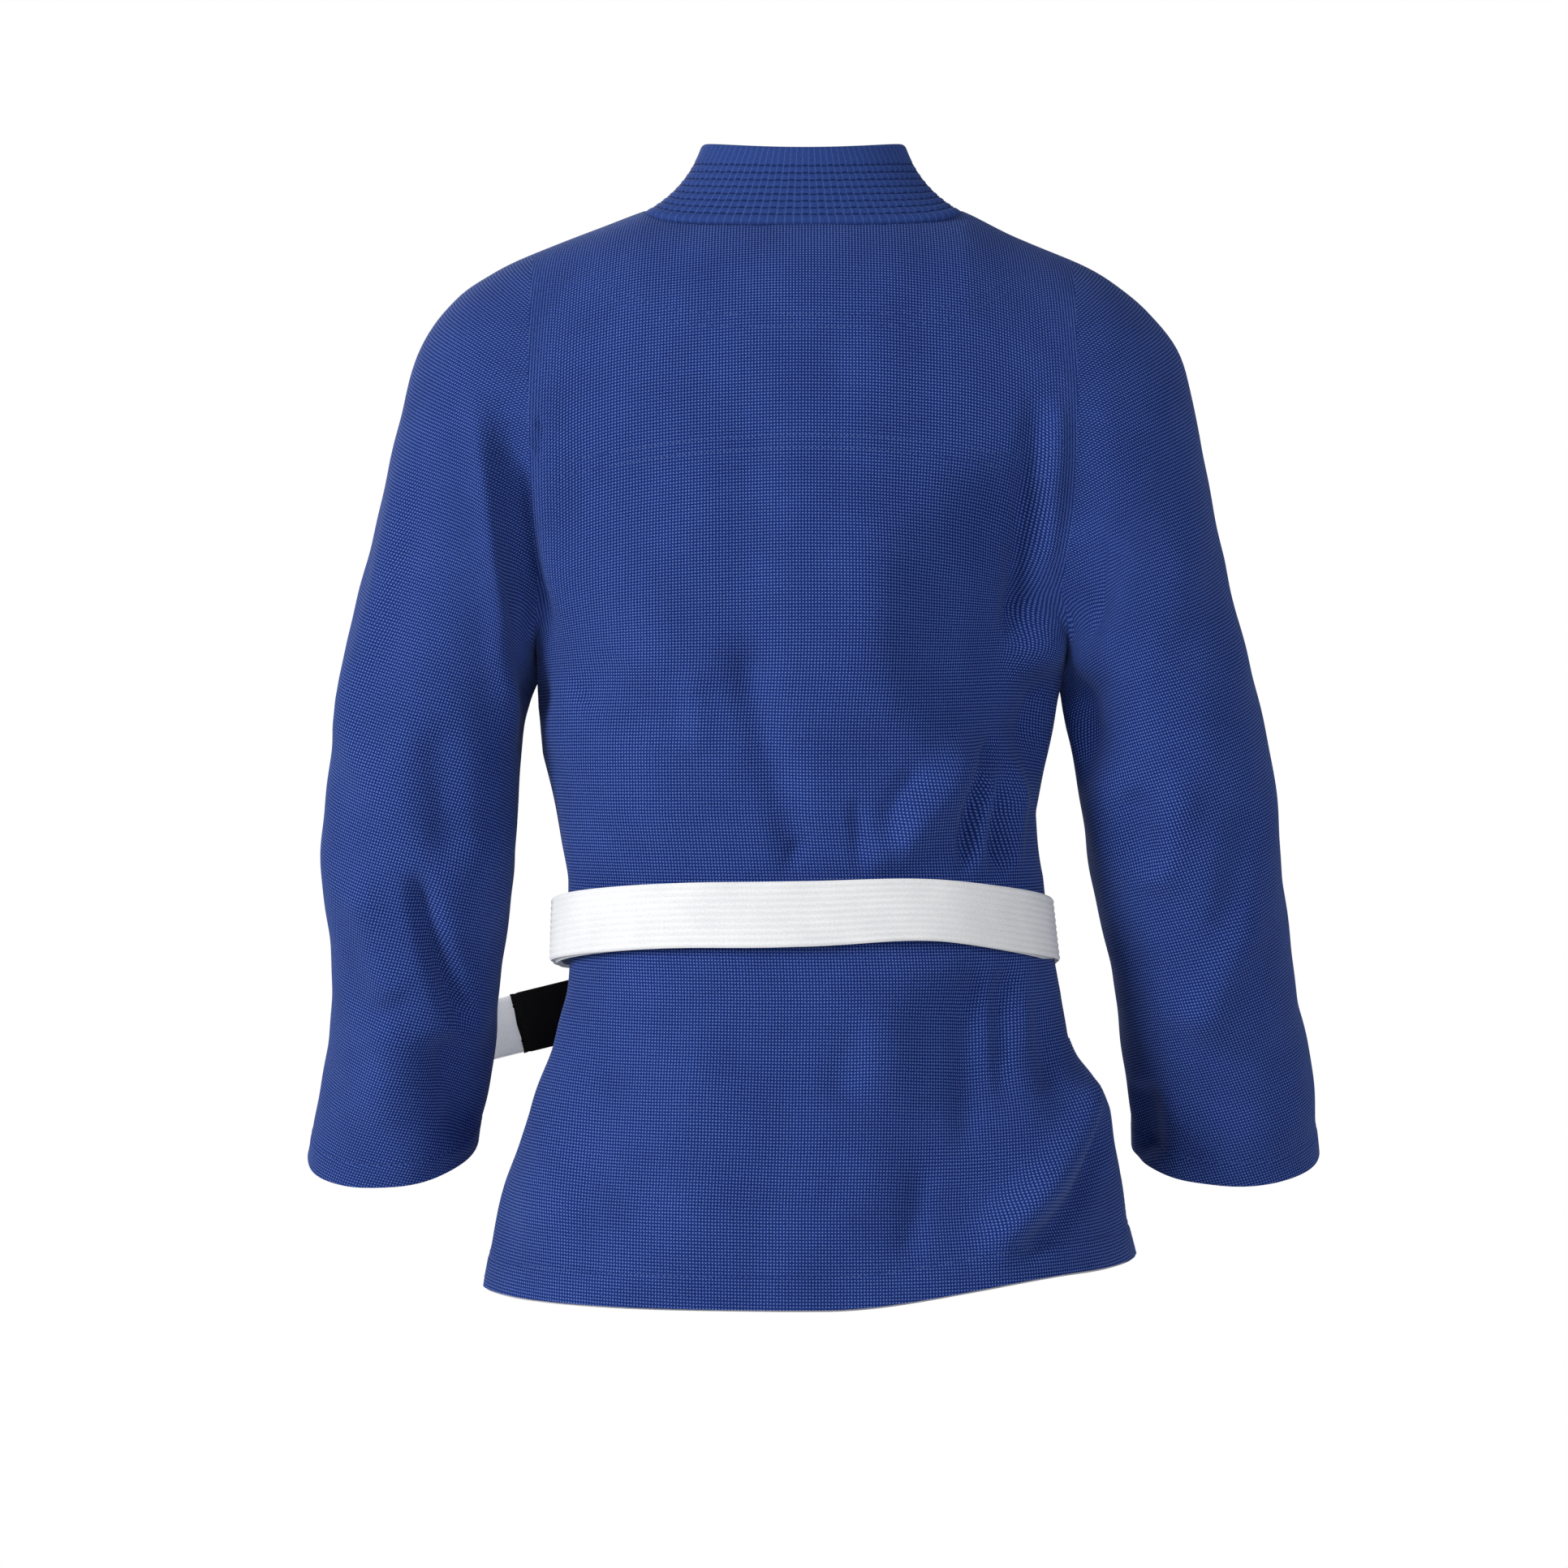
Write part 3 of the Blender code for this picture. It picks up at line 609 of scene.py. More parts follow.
def plain_cotton(name, light, shade, pitch, roughness=0.85, sheen=0.12):
    """Plain woven cotton: two crossing sets of fine threads, with a little unevenness."""
    n = Nodes(name)
    uv, u, v = n.uv()
    threads = n.math("MULTIPLY", n.wave(u, pitch), n.wave(v, pitch))
    grain = n.noise(uv, 700.0, 3.0)
    cloudy = n.noise(uv, 40.0, 2.0)
    uneven = n.math("ADD", n.math("MULTIPLY", grain, 0.6), n.math("MULTIPLY", cloudy, 0.4))
    tone = n.math("MULTIPLY_ADD", threads, 0.18, uneven)
    colour = n.ramp(tone, [(0.25, shade), (0.65, light)])
    return n.finish(colour, n.bump(tone, 0.00025, 0.8), roughness, sheen)


def thread(name, colour, dark):
    """Sewing thread with its twist."""
    n = Nodes(name)
    uv, u, v = n.uv()
    twist = n.wave(n.math("ADD", u, v), 0.0008)
    tone = n.math("MULTIPLY_ADD", twist, 0.4, 0.5)
    return n.finish(n.ramp(tone, [(0.1, dark), (0.8, colour)]), n.bump(tone, 0.0001, 0.5), 0.6)


COLLAR_STITCH = 0.0047
WEAVE = pearl_weave("pearl_weave")
COLLAR_CLOTH = collar_cloth("collar_ripstop")
BELT_CLOTH = plain_cotton("belt_cotton", WHITE_COTTON, WHITE_SHADE, 0.0011)
BAR_CLOTH = plain_cotton("rank_bar_cloth", BLACK_COTTON, BLACK_SHADE, 0.0010, 0.8, 0.04)
TAPE_CLOTH = plain_cotton("cotton_tape", TAPE_GREY, (0.40, 0.40, 0.42), 0.0009)
FOAM = plain_cotton("collar_foam", (0.10, 0.10, 0.11), (0.06, 0.06, 0.065), 0.0030)
BLUE_STITCH = thread("blue_thread", (0.060, 0.110, 0.340), (0.025, 0.055, 0.220))
PALE_STITCH = thread("pale_thread", (0.170, 0.260, 0.580), (0.070, 0.120, 0.380))
# Dark thread as painted shade: its tubes between the lockstitches paint the shade in the needle
# holes, and the collar's real stitches are darkened to paint the shade of their grooves
PAINTED_SHADE_THREAD = thread("painted_shade_thread", (0.0110, 0.0270, 0.1250), (0.0050, 0.0130, 0.0700))
BLACK_STITCH = thread("black_thread", (0.012, 0.012, 0.013), (0.004, 0.004, 0.004))
WHITE_STITCH = thread("white_thread", (0.78, 0.78, 0.78), (0.55, 0.55, 0.56))


# ---------------------------------------------------------------- stitches


def stitch_row(points, normals, length, gap, radius, swing=0.0, phase=0.5, run=None, step=0.0):
    """Stitches along a line as (middle, half length, normal, radius) arrays. swing makes a zigzag,
    by putting each end to one side of the line, and step moves every other stitch sideways."""
    if run is None:
        run = run_along(points)
    count = max(int(round(run[-1] / (length + gap))), 1)
    starts = (np.arange(count) + phase) * run[-1] / count
    ends = [looked_up(starts + side * length, run, points) for side in (-0.5, 0.5)]
    normal = unit(looked_up(starts, run, normals))
    if swing or step:
        sideways = unit(np.cross(unit(ends[1] - ends[0]), normal))
        turn = np.where(np.arange(count) % 2 == 0, 1.0, -1.0)[:, None]
        ends[0] = ends[0] - sideways * turn * (swing + step)
        ends[1] = ends[1] + sideways * turn * (swing - step)
    return (ends[0] + ends[1]) / 2, (ends[1] - ends[0]) / 2, normal, np.full(count, radius)


STITCH_STATIONS = ((-1.0, -0.9, 0.55), (-0.55, 0.35, 1.0), (0.55, 0.35, 1.0), (1.0, -0.9, 0.55))
STITCH_SIDES = 5


def stitch_mesh(name, rows, material):
    """All the stitches of several rows as one piece: short tubes whose ends dip into the cloth."""
    middle, half, normal, radius = (np.concatenate(part) for part in zip(*rows))
    direction = unit(half)
    sideways = np.cross(direction, normal)
    count = len(middle)
    rings = []
    for along, lift, size in STITCH_STATIONS:
        for k in range(STITCH_SIDES):
            turn = TAU * k / STITCH_SIDES
            up = (lift + size * math.sin(turn)) * radius[:, None]
            out = size * 1.25 * math.cos(turn) * radius[:, None]
            rings.append(middle + half * along + normal * up + sideways * out)
    points = np.stack(rings, 1)
    per = points.shape[1]
    faces = []
    for ring in range(len(STITCH_STATIONS) - 1):
        for k in range(STITCH_SIDES):
            a, b = ring * STITCH_SIDES + k, ring * STITCH_SIDES + (k + 1) % STITCH_SIDES
            faces.append((a, b, b + STITCH_SIDES, a + STITCH_SIDES))
    quads = np.array(faces)[None] + (np.arange(count) * per)[:, None, None]
    caps = [tuple(range(STITCH_SIDES))[::-1], tuple(range(per - STITCH_SIDES, per))]
    all_faces = quads.reshape(-1, 4).tolist()
    for cap in caps:
        all_faces += (np.array(cap)[None] + (np.arange(count) * per)[:, None]).tolist()
    mesh = bpy.data.meshes.new(name)
    mesh.from_pydata(points.reshape(-1, 3).tolist(), [], all_faces)
    uv = mesh.uv_layers.new(name="UVMap")
    corner = np.zeros(len(mesh.loops), int)
    mesh.loops.foreach_get("vertex_index", corner)
    station = (corner % per) // STITCH_SIDES
    share = np.array([s[0] for s in STITCH_STATIONS])[station]
    length = np.linalg.norm(half, axis=1)[corner // per]
    coords = np.stack([share * length, (corner % STITCH_SIDES) * 0.0004], 1)
    uv.data.foreach_set("uv", coords.reshape(-1).astype(np.float32))
    mesh.shade_smooth()
    return finish_piece(placed(name, mesh), material)


# ---------------------------------------------------------------- body cloth


def evened(points, shares):
    """Each row of points moved along its own line to the given shares of its length."""
    rows = []
    for row in points:
        run = run_along(row)
        rows.append(looked_up(shares * run[-1], run, row))
    return np.array(rows)


def graded(length, fine, fine_step, step, both=True):
    """Shares from 0 to 1 along a length, closer together near the start, and near the end too."""
    edge = np.arange(0, fine, fine_step)
    last = length - fine if both else length
    middle = np.linspace(fine, last, max(int((last - fine) / step), 2))
    parts = [edge, middle] + ([length - edge[::-1]] if both else [])
    return np.concatenate(parts) / length


# Steps of the cloth's grid: along its turned edges and elsewhere
FINE_ROW, FINE_COLUMN, CLOTH_STEP = 0.0014, 0.0015, 0.0034
ALMOST_TOP = 0.9999
LOWER_SHARES = graded(ARMPIT_Z - HEM_Z, 0.027, FINE_ROW, CLOTH_STEP, both=False)
LOWER_HEIGHTS = (HEM_Z - ARMPIT_Z) * (1 - LOWER_SHARES)
UPPER_HEIGHTS = UPPER * ALMOST_TOP * (1 - (1 - np.linspace(0, 1, 96)[1:]) ** 2.2)
HEIGHTS = np.concatenate([LOWER_HEIGHTS, UPPER_HEIGHTS])
# The right vent stands open: how far the edge of the back skirt swings out,
# as (z, distance) in millimetres
FLARE = ((-722, 6), (-677, 6), (-634, 10), (-602, 13), (-589, 12),
         (-577, 8), (-566.4, 3), (-553, 0))


def hem_raise(points):
    """The hem rides up a little at the wearer's right."""
    x, z = points[..., 0], points[..., 2]
    lift = (0.0042 + 0.0178 * smooth(-x, 0.010, 0.185)) * smooth(VENT_Z - z, 0.0, VENT_Z - HEM_Z)
    points[..., 2] += lift
    return points


def band_lift(distance, width, height=0.0007):
    """A turned-under edge: a raised band with a groove at the row of stitches that holds it."""
    band = height * (1 - smooth(distance, width, width + 0.0025))
    return band - 0.0009 * np.exp(-((distance - width + 0.0012) / 0.0013) ** 2)


def edge_distance(points, column):
    return np.linalg.norm(points - points[:, [column]], axis=-1)


def softened(points, width=15):
    """The body cloth bridges the hollow at the armpits' level, except along its side edges."""
    mean = smoothed(points.reshape(len(points), -1), width).reshape(points.shape)
    sides = np.minimum(edge_distance(points, 0), edge_distance(points, -1))
    z = points[..., 2]
    near = (1 - smooth(np.abs(z - ARMPIT_Z - 0.01), 0.03, 0.09)) * smooth(sides, 0.0, 0.030)
    return points + (mean - points) * near[..., None]


def make_back_sheet():
    angles = np.linspace(0, math.pi, 500)
    shares = graded(0.52, 0.015, FINE_COLUMN, CLOTH_STEP)
    x = body_face(angles[None], np.maximum(HEIGHTS, 0)[:, None])[..., 0]
    dip = NECK_DIP * np.clip(1 - (x / (NECK_HALF + 0.004)) ** 2, 0, 1)
    high = np.where(HEIGHTS[:, None] > 0, HEIGHTS[:, None] * (1 - dip), HEIGHTS[:, None])
    points = evened(body_face(angles[None], high), shares)
    points = hem_raise(softened(softened(points)))
    flare = np.interp(points[..., 2], *np.array(FLARE).T / MM)
    near = 1 - smooth(edge_distance(points, -1), 0.0, 0.075)
    points[..., 0] -= flare * near
    points[..., 1] += 0.25 * flare * near
    return Sheet(points)


def oriented(sheet, sign):
    """The sheet with its normals pointing out: +1 for the back, -1 for the front."""
    rows, columns = sheet.normals.shape[:2]
    if sheet.normals[rows // 3, columns // 2, 1] * sign < 0:
        sheet.normals = -sheet.normals
    return sheet


def facing_out(sheet):
    """The sheet of a closed piece with its normals pointing away from its middle."""
    if np.sum(sheet.normals * (sheet.points - sheet.points.mean(axis=(0, 1)))) < 0:
        sheet.normals = -sheet.normals
    return sheet


def fold_sheet(sheet):
    sheet.points = sheet.points + sheet.normals * relief(sheet.points, sheet.normals)[..., None]
    refresh(sheet)


def lift_sheet(sheet, lift):
    sheet.points = sheet.points + sheet.normals * lift[..., None]


def sheet_object(name, sheet, material, thickness=CLOTH, grain=0.0):
    fresh = grid_normals(sheet.points, sheet.closed)
    outward = np.sum(fresh * sheet.normals) > 0
    obj = grid_mesh(name, sheet.points, sheet.closed, sheet.plain, grain, flip=not outward)
    return finish_piece(thicken(obj, thickness), material)


def skirt_edges(sheet, columns):
    """Turned edges along the vents: bands at these columns of the skirt."""
    z = sheet.points[..., 2]
    lift = np.zeros(z.shape)
    for column in columns:
        distance = edge_distance(sheet.points, column)
        lift += band_lift(distance, VENT_BAND) * smooth(VENT_Z - 0.004 - z, 0.0, 0.006)
    return lift


def hem_distance(sheet):
    rise = np.linalg.norm(np.diff(sheet.points, axis=0), axis=-1)
    return np.concatenate([np.zeros((1, rise.shape[1])), np.cumsum(rise, axis=0)])


def row_at(sheet, z):
    """The first row of the sheet whose middle is at or above this level."""
    middle = sheet.points[:, sheet.points.shape[1] // 2, 2]
    return int(np.argmax(middle >= z))


BACK = oriented(make_back_sheet(), 1)


LAPEL_SPREAD = 1.072
LAPEL_TURN = (0.175, 0.300)
RISE_TO_NECK = (NECK_Z - ARMPIT_Z) / UPPER


def lapel_half(z):
    """Half the lapel's width, which is a little more above the vents."""
    return LAPEL_HALF * (1 + (LAPEL_SPREAD - 1) * smooth(z, VENT_Z - 0.02, VENT_Z + 0.02))


def lapel_x(side, z):
    return side * (0.090 + 0.385 * np.maximum(z, VENT_Z))


def sewn_x(side, height, z):
    """The x of the strip's sewn edge: beside the lapel's middle, and at the neck's side on top."""
    share = smooth(height, *LAPEL_TURN)
    return (lapel_x(side, z) + side * lapel_half(z)) * (1 - share) + side * NECK_HALF * share


def make_front_sheet(side):
    """A front from its lapel to its side seam. The left one, side +1, lies over the right one."""
    shares = graded(0.34, 0.015, FINE_COLUMN, CLOTH_STEP)
    rows = []
    for height in HEIGHTS:
        z = ARMPIT_Z + height * (1 if height < 0 else RISE_TO_NECK)
        start_x = sewn_x(side, height, z) - side * (0.022 - 0.014 * smooth(height, 0.175, 0.280))
        start = body_angle(start_x, height, behind=False)
        # just short of the side seam, so that every point counts as in front
        angles = np.linspace(start, TAU - 1e-9 if side > 0 else math.pi + 1e-9, 260)
        rows.append(body_face(angles, height))
    points = evened(np.array(rows), shares)
    points = hem_raise(softened(softened(points)))
    sheet = oriented(Sheet(points), -1)
    if side < 0:
        lift_sheet(sheet, under_lift(points[..., 0], points[..., 2]))
    return sheet


FRONTS = {side: make_front_sheet(side) for side in (1, -1)}

# ---------------------------------------------------------------- sleeves

# Rings of each sleeve in millimetres, armhole first: inner point (x, z), then outer point (x, z).
# The half depths and the middles' y are the same for both.
LEFT_RINGS = (
    (180, -300, 180, -23.7), (179.5, -304.5, 208, -36.5), (179.2, -309, 234.5, -54.5),
    (179.6, -314, 258.5, -88), (181.5, -320.5, 272, -140), (184.2, -330, 287, -203),
    (187.8, -343.5, 301, -262), (189.5, -362, 310.5, -320), (191, -400, 320, -395),
    (192.8, -442, 326, -445), (204, -502, 321.5, -505), (212, -568, 329, -575),
    (223.5, -632, 344, -640))
RIGHT_RINGS = (
    (180, -300, 180, -27.2), (177.5, -304.5, 206, -42), (175.2, -309, 233.5, -64),
    (173.8, -313.5, 255, -94), (173.8, -320, 265.5, -143), (175.2, -330, 277, -202),
    (178, -344, 292, -261), (182, -362, 306.5, -320), (188, -400, 318.5, -390),
    (193.5, -442, 326.5, -445), (208.5, -502, 336, -510), (218, -568, 348, -572),
    (229, -636, 357, -636))
RING_DEPTHS = (92, 92, 90, 86, 82, 77, 73, 70, 69, 68, 65, 62, 60)
RING_MIDDLES = (0, 0, 0, 1, 2, 3, 4, 4, 2, -6, -22, -44, -66)
SLEEVE_GRAIN = math.radians(14)


def make_sleeve_sheet(side):
    rings = np.column_stack([LEFT_RINGS if side > 0 else RIGHT_RINGS, RING_DEPTHS, RING_MIDDLES])
    rings = spline(rings / MM, 1200)
    middle = np.column_stack([(rings[:, :2] + rings[:, 2:4]) / 2, rings[:, 5]])
    run = run_along(middle)
    wanted = 1 - graded(run[-1], 0.025, FINE_ROW, 0.0031, both=False)
    rings = looked_up(run[-1] * wanted, run, rings)
    turn = np.linspace(-math.pi / 2, 3 * math.pi / 2, 400)
    inner, outer = rings[:, :2], rings[:, 2:4]
    centre, half = (inner + outer) / 2, (outer - inner) / 2
    cosine, sine = np.cos(turn)[None], np.sin(turn)[None]
    depth = rings[:, [4]] * sine
    slant = np.gradient(rings[:, 5]) / np.gradient(centre[:, 1]) * smooth(-centre[:, 1], 0.36, 0.50)
    x = centre[:, [0]] + half[:, [0]] * cosine
    z = centre[:, [1]] + half[:, [1]] * cosine - slant[:, None] * depth
    points = np.stack([x * side, rings[:, [5]] + depth, z], axis=-1)
    return oriented(Sheet(evened(points, np.linspace(0, 1, 151))[:, :-1], closed=True), 1)


def arm_turn(points):
    """The turn of points round the armhole: 0 on top of the shoulder, a quarter turn behind."""
    up = (points[..., 2] - (ARMPIT_Z + ARMHOLE_HALF)) / ARMHOLE_HALF
    return np.arctan2(points[..., 1] / ARMHOLE_DEPTH, up) % TAU


def armhole_edge(side):
    """The body cloth's edge round the armhole, as the turn of each point and the point itself."""
    back = BACK.points[:, 0 if side > 0 else -1]
    front = FRONTS[side].points[:, -1]
    first = row_at(BACK, ARMPIT_Z)
    loop = np.concatenate([back[first:], front[first:][::-1]])
    turn = arm_turn(loop)
    order = np.argsort(turn)
    return turn[order], loop[order]


def at_turn(turn, known, values):
    """Values given at known turns, found at other turns."""
    order = np.argsort(known)
    return looked_up(turn, known[order], values[order], period=TAU)


def join_to_armhole(sheet, side, reach):
    """Draws the sleeve's last rows onto the armhole's edge, so that the two cloths meet."""
    last = sheet.points[-1]
    goal = at_turn(arm_turn(last), *armhole_edge(side))
    seam = hem_distance(sheet)
    near = 1 - smooth(seam[-1:] - seam, 0.0, reach)
    sheet.points = sheet.points + (goal - last)[None] * near[..., None]


# Length of cloth on each side of the armhole seam that is carried over in one curve
BRIDGE = 0.034


def anchors(lines):
    """For lines of points that start at the seam: every point's distance from it, then each line's
    point where the bridge begins and its way towards the seam there."""
    steps = np.linalg.norm(np.diff(lines, axis=1), axis=-1)
    away = np.concatenate([np.zeros((len(lines), 1)), np.cumsum(steps, axis=1)], axis=1)

    def at(distance):
        return np.concatenate([looked_up([distance], run, line) for run, line in zip(away, lines)])

    start = at(BRIDGE)
    return away, start, unit(start - at(BRIDGE + 0.010))


def bridge(start, leave, goal, arrive, share):
    """Points of a smooth curve from start to goal, at these shares of the way."""
    start, leave, goal, arrive = (part[:, None] for part in (start, leave, goal, arrive))
    s = share[..., None]
    span = np.linalg.norm(goal - start, axis=-1, keepdims=True)
    return ((2 * s**3 - 3 * s**2 + 1) * start + (s**3 - 2 * s**2 + s) * span * leave
            + (3 * s**2 - 2 * s**3) * goal + (s**3 - s**2) * span * arrive)


def round_shoulder(side):
    """Carries the body cloth into the sleeve in one smooth surface, except at the armpit."""
    sleeve = SLEEVES[side]
    first = row_at(BACK, ARMPIT_Z)
    arm_lines = sleeve.points[::-1].swapaxes(0, 1)
    arm_turns = arm_turn(arm_lines[:, 0])
    arm_away, arm_start, arm_way = anchors(arm_lines)
    body = []
    for sheet, left_edge in ((BACK, side > 0), (FRONTS[side], False)):
        lines = sheet.points[first:] if left_edge else sheet.points[first:, ::-1]
        body.append((sheet, left_edge, arm_turn(lines[:, 0]), lines, *anchors(lines)))
    body_turns = np.concatenate([part[2] for part in body])
    body_start = np.concatenate([part[5] for part in body])
    body_way = np.concatenate([part[6] for part in body])

    def kept(turns):
        return smooth(np.abs(turns - math.pi), 0.25, 0.80)[:, None, None]

    for sheet, left_edge, turns, lines, away, start, way in body:
        share = 0.5 * (1 - np.clip(away / BRIDGE, 0, 1))
        curve = bridge(start, way, at_turn(turns, arm_turns, arm_start),
                       -unit(at_turn(turns, arm_turns, arm_way)), share)
        moved = np.where((away < BRIDGE)[..., None], lines + (curve - lines) * kept(turns), lines)
        sheet.points = sheet.points.copy()
        sheet.points[first:] = moved if left_edge else moved[:, ::-1]
    share = 0.5 + 0.5 * np.clip(arm_away / BRIDGE, 0, 1)
    curve = bridge(at_turn(arm_turns, body_turns, body_start),
                   unit(at_turn(arm_turns, body_turns, body_way)), arm_start, -arm_way, share)
    moved = arm_lines + (curve - arm_lines) * kept(arm_turns)
    moved = np.where((arm_away < BRIDGE)[..., None], moved, arm_lines)
    sleeve.points = moved.swapaxes(0, 1)[::-1].copy()


def close_shoulder_line(front):
    """Draws the front's top rows onto the back's top edge, so that the shoulder shows no slit."""
    edge, last = BACK.points[-1], front.points[-1]
    order = np.argsort(edge[:, 0])
    goal = looked_up(last[:, 0], edge[order, 0], edge[order])
    seam = hem_distance(front)
    near = (1 - smooth(seam[-1:] - seam, 0.0, 0.016)) * smooth(np.abs(last[:, 0]), 0.100, 0.108)
    front.points = front.points + (goal - last)[None] * near[..., None]


def refresh(sheet):
    """Normals worked out again after the points moved, facing the same way as before."""
    fresh = grid_normals(sheet.points, sheet.closed)
    sheet.normals = fresh * np.sign(np.sum(fresh * sheet.normals))


SLEEVES = {side: make_sleeve_sheet(side) for side in (1, -1)}
for side, sheet in SLEEVES.items():
    join_to_armhole(sheet, side, 0.030)
    round_shoulder(side)
    join_to_armhole(sheet, side, 0.008)
for sheet in (BACK, *FRONTS.values(), *SLEEVES.values()):
    refresh(sheet)
    sheet.plain = sheet.points
    fold_sheet(sheet)
lift_sheet(BACK, band_lift(hem_distance(BACK), HEM_WIDTH) + skirt_edges(BACK, (0, -1)))
for sheet in FRONTS.values():
    lift_sheet(sheet, band_lift(hem_distance(sheet), HEM_WIDTH) + skirt_edges(sheet, (-1,)))
    close_shoulder_line(sheet)
for side, sheet in SLEEVES.items():
    lift_sheet(sheet, band_lift(hem_distance(sheet), CUFF_WIDTH))
    join_to_armhole(sheet, side, 0.008)

cloth = sheet_object("jacket_back", BACK, WEAVE)
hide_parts("back_panel", "back_skirt")
skirt_blend(cloth)

SIDE_NAMES = {1: "left", -1: "right"}
SKIRT_BODIES = {"back": "back_skirt_flap", "front": "front_skirt_flaps"}
for side, sheet in FRONTS.items():
    name = SIDE_NAMES[side]
    cloth = sheet_object(f"jacket_front_{name}", sheet, WEAVE)
    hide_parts(f"{name}_front_panel", f"{name}_front_skirt")
    skirt_blend(cloth)
for side, sheet in SLEEVES.items():
    name = SIDE_NAMES[side]
    cloth = sheet_object(f"sleeve_{name}", sheet, WEAVE, grain=SLEEVE_GRAIN)
    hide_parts(f"{name}_sleeve_cap", f"{name}_sleeve")
    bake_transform(cloth)

# ---------------------------------------------------------------- collar strip

COLLAR_SIDE_TOP = (0.0665, 0.0, 0.0495)
COLLAR_BACK_TOP = (0.0, 0.0460, 0.0408)
COLLAR_SAG = 0.074
ROW_SHARES = 0.245 + 0.0900 * np.arange(8)


def surface_point(angle, height, lift):
    """A point of the folded body cloth, lifted off it, and the normal there."""
    here = body_face(angle, height)
    step = 0.004
    around = body_face(angle + step, height) - body_face(angle - step, height)
    low = np.minimum(height - step, UPPER * 0.985)
    up = body_face(angle, low + step) - body_face(angle, low - step)
    normal = unit(np.cross(around, up))
    normal = normal * np.sign(np.sum(normal * here * np.array([1, 1, 0]), axis=-1, keepdims=True))
    return here + normal * (lift + relief(here, normal))[..., None], normal


def lapel_edges(side):
    """Free edge, sewn edge and outward direction of a lapel, from the hem up to the shoulder."""
    heights = np.linspace(HEM_Z - ARMPIT_Z, UPPER * 0.999, 420)
    z = ARMPIT_Z + heights * np.where(heights < 0, 1, RISE_TO_NECK)
    found = []
    for x in (lapel_x(side, z) - side * lapel_half(z), sewn_x(side, heights, z)):
        angle = body_angle(x, heights, behind=False)
        under = under_lift(x, z) if side < 0 else 0.0
        point, normal = surface_point(angle, heights, LAPEL_LIFT + LAPEL_T / 2 + under)
        found.append((hem_raise(point), normal))
    share = smooth(heights, *LAPEL_TURN)[:, None]
    free = found[0][0] * (1 - share) + np.array(COLLAR_SIDE_TOP) * np.array([side, 1, 1]) * share
    return free, found[1][0], unit(found[0][1] + found[1][1]), share


def neck_edges():
    turn = np.linspace(0, math.pi, 160)[1:-1]
    cosine, sine = np.cos(turn), np.sin(turn)
    free = np.stack([COLLAR_SIDE_TOP[0] * cosine, COLLAR_BACK_TOP[1] * sine,
                     COLLAR_SIDE_TOP[2] + (COLLAR_BACK_TOP[2] - COLLAR_SIDE_TOP[2]) * sine**1.5], 1)
    height = UPPER * (ALMOST_TOP - COLLAR_SAG * sine**0.7)
    sewn = body_face(body_angle(NECK_HALF * cosine, height, behind=True), height)
    sewn = sewn + np.stack([0 * sine, 0.0030 - 0.0015 * sine, 0.0020 - 0.0035 * sine**0.5], 1)
    out = np.stack([cosine, sine, 0.25 + 0 * sine], 1)
    return free, sewn, unit(out), np.ones((len(turn), 1))


def collar_path(count):
    """The strip's two edges at even steps, the way it faces, how far it stands, and its length."""
    left, neck, right = lapel_edges(1), neck_edges(), lapel_edges(-1)
    parts = [np.concatenate([a, b, c[::-1]]) for a, b, c in zip(left, neck, right)]
    free, sewn, out, stand = (smoothed(part, 41) for part in parts)
    run = run_along((free + sewn) / 2)
    where = np.linspace(0, run[-1], count)
    return (*(looked_up(where, run, part) for part in (free, sewn, out, stand)), run[-1])


STRIP_ROUND = 0.0035
GROOVE_DEPTH = 0.0010


class Strip:
    """A long flat piece with rounded edges: shares of its width across, stations along it."""

    def __init__(self, free, sewn, out, hollow=None):
        self.free, self.sewn = free, sewn
        along = np.gradient((free + sewn) / 2, axis=0)
        normal = unit(np.cross(along, sewn - free))
        sign = np.sign(np.sum(normal * out, axis=1, keepdims=True))
        self.normal = unit(smoothed(normal * np.where(sign == 0, 1, sign), 9))
        self.width = np.linalg.norm(sewn - free, axis=1)
        self.hollow = np.zeros(len(free)) if hollow is None else hollow

    def face(self, shares, lift):
        """Points at shares of the width, on every station."""
        w = np.asarray(shares)[None, :, None]
        bend = (4 * w * (1 - w)) * self.hollow[:, None, None]
        points = self.free[:, None] * (1 - w) + self.sewn[:, None] * w
        return points + self.normal[:, None] * (lift - bend)

    def section(self, shares, thickness, grooves):
        """The closed outline of the piece at every station, outer face first."""
        width = self.width.mean()
        edge = np.minimum(shares, 1 - shares) * width / STRIP_ROUND
        full = np.sqrt(np.clip(1 - (1 - np.minimum(edge, 1)) ** 2, 0.0, 1))
        dents = (np.exp(-((shares - g) * width / 0.0011) ** 2) for g in grooves)
        dent = sum(dents, np.zeros(len(shares)))
        lift = (thickness / 2 * full - GROOVE_DEPTH * dent)[None, :, None]
        outer = self.face(shares, lift)
        back = shares[::-1][1:-1][::2]
        full_back = np.interp(back, shares, full)
        inner = self.face(back, (-thickness / 2 * full_back)[None, :, None])
        return np.concatenate([outer, inner], axis=1)


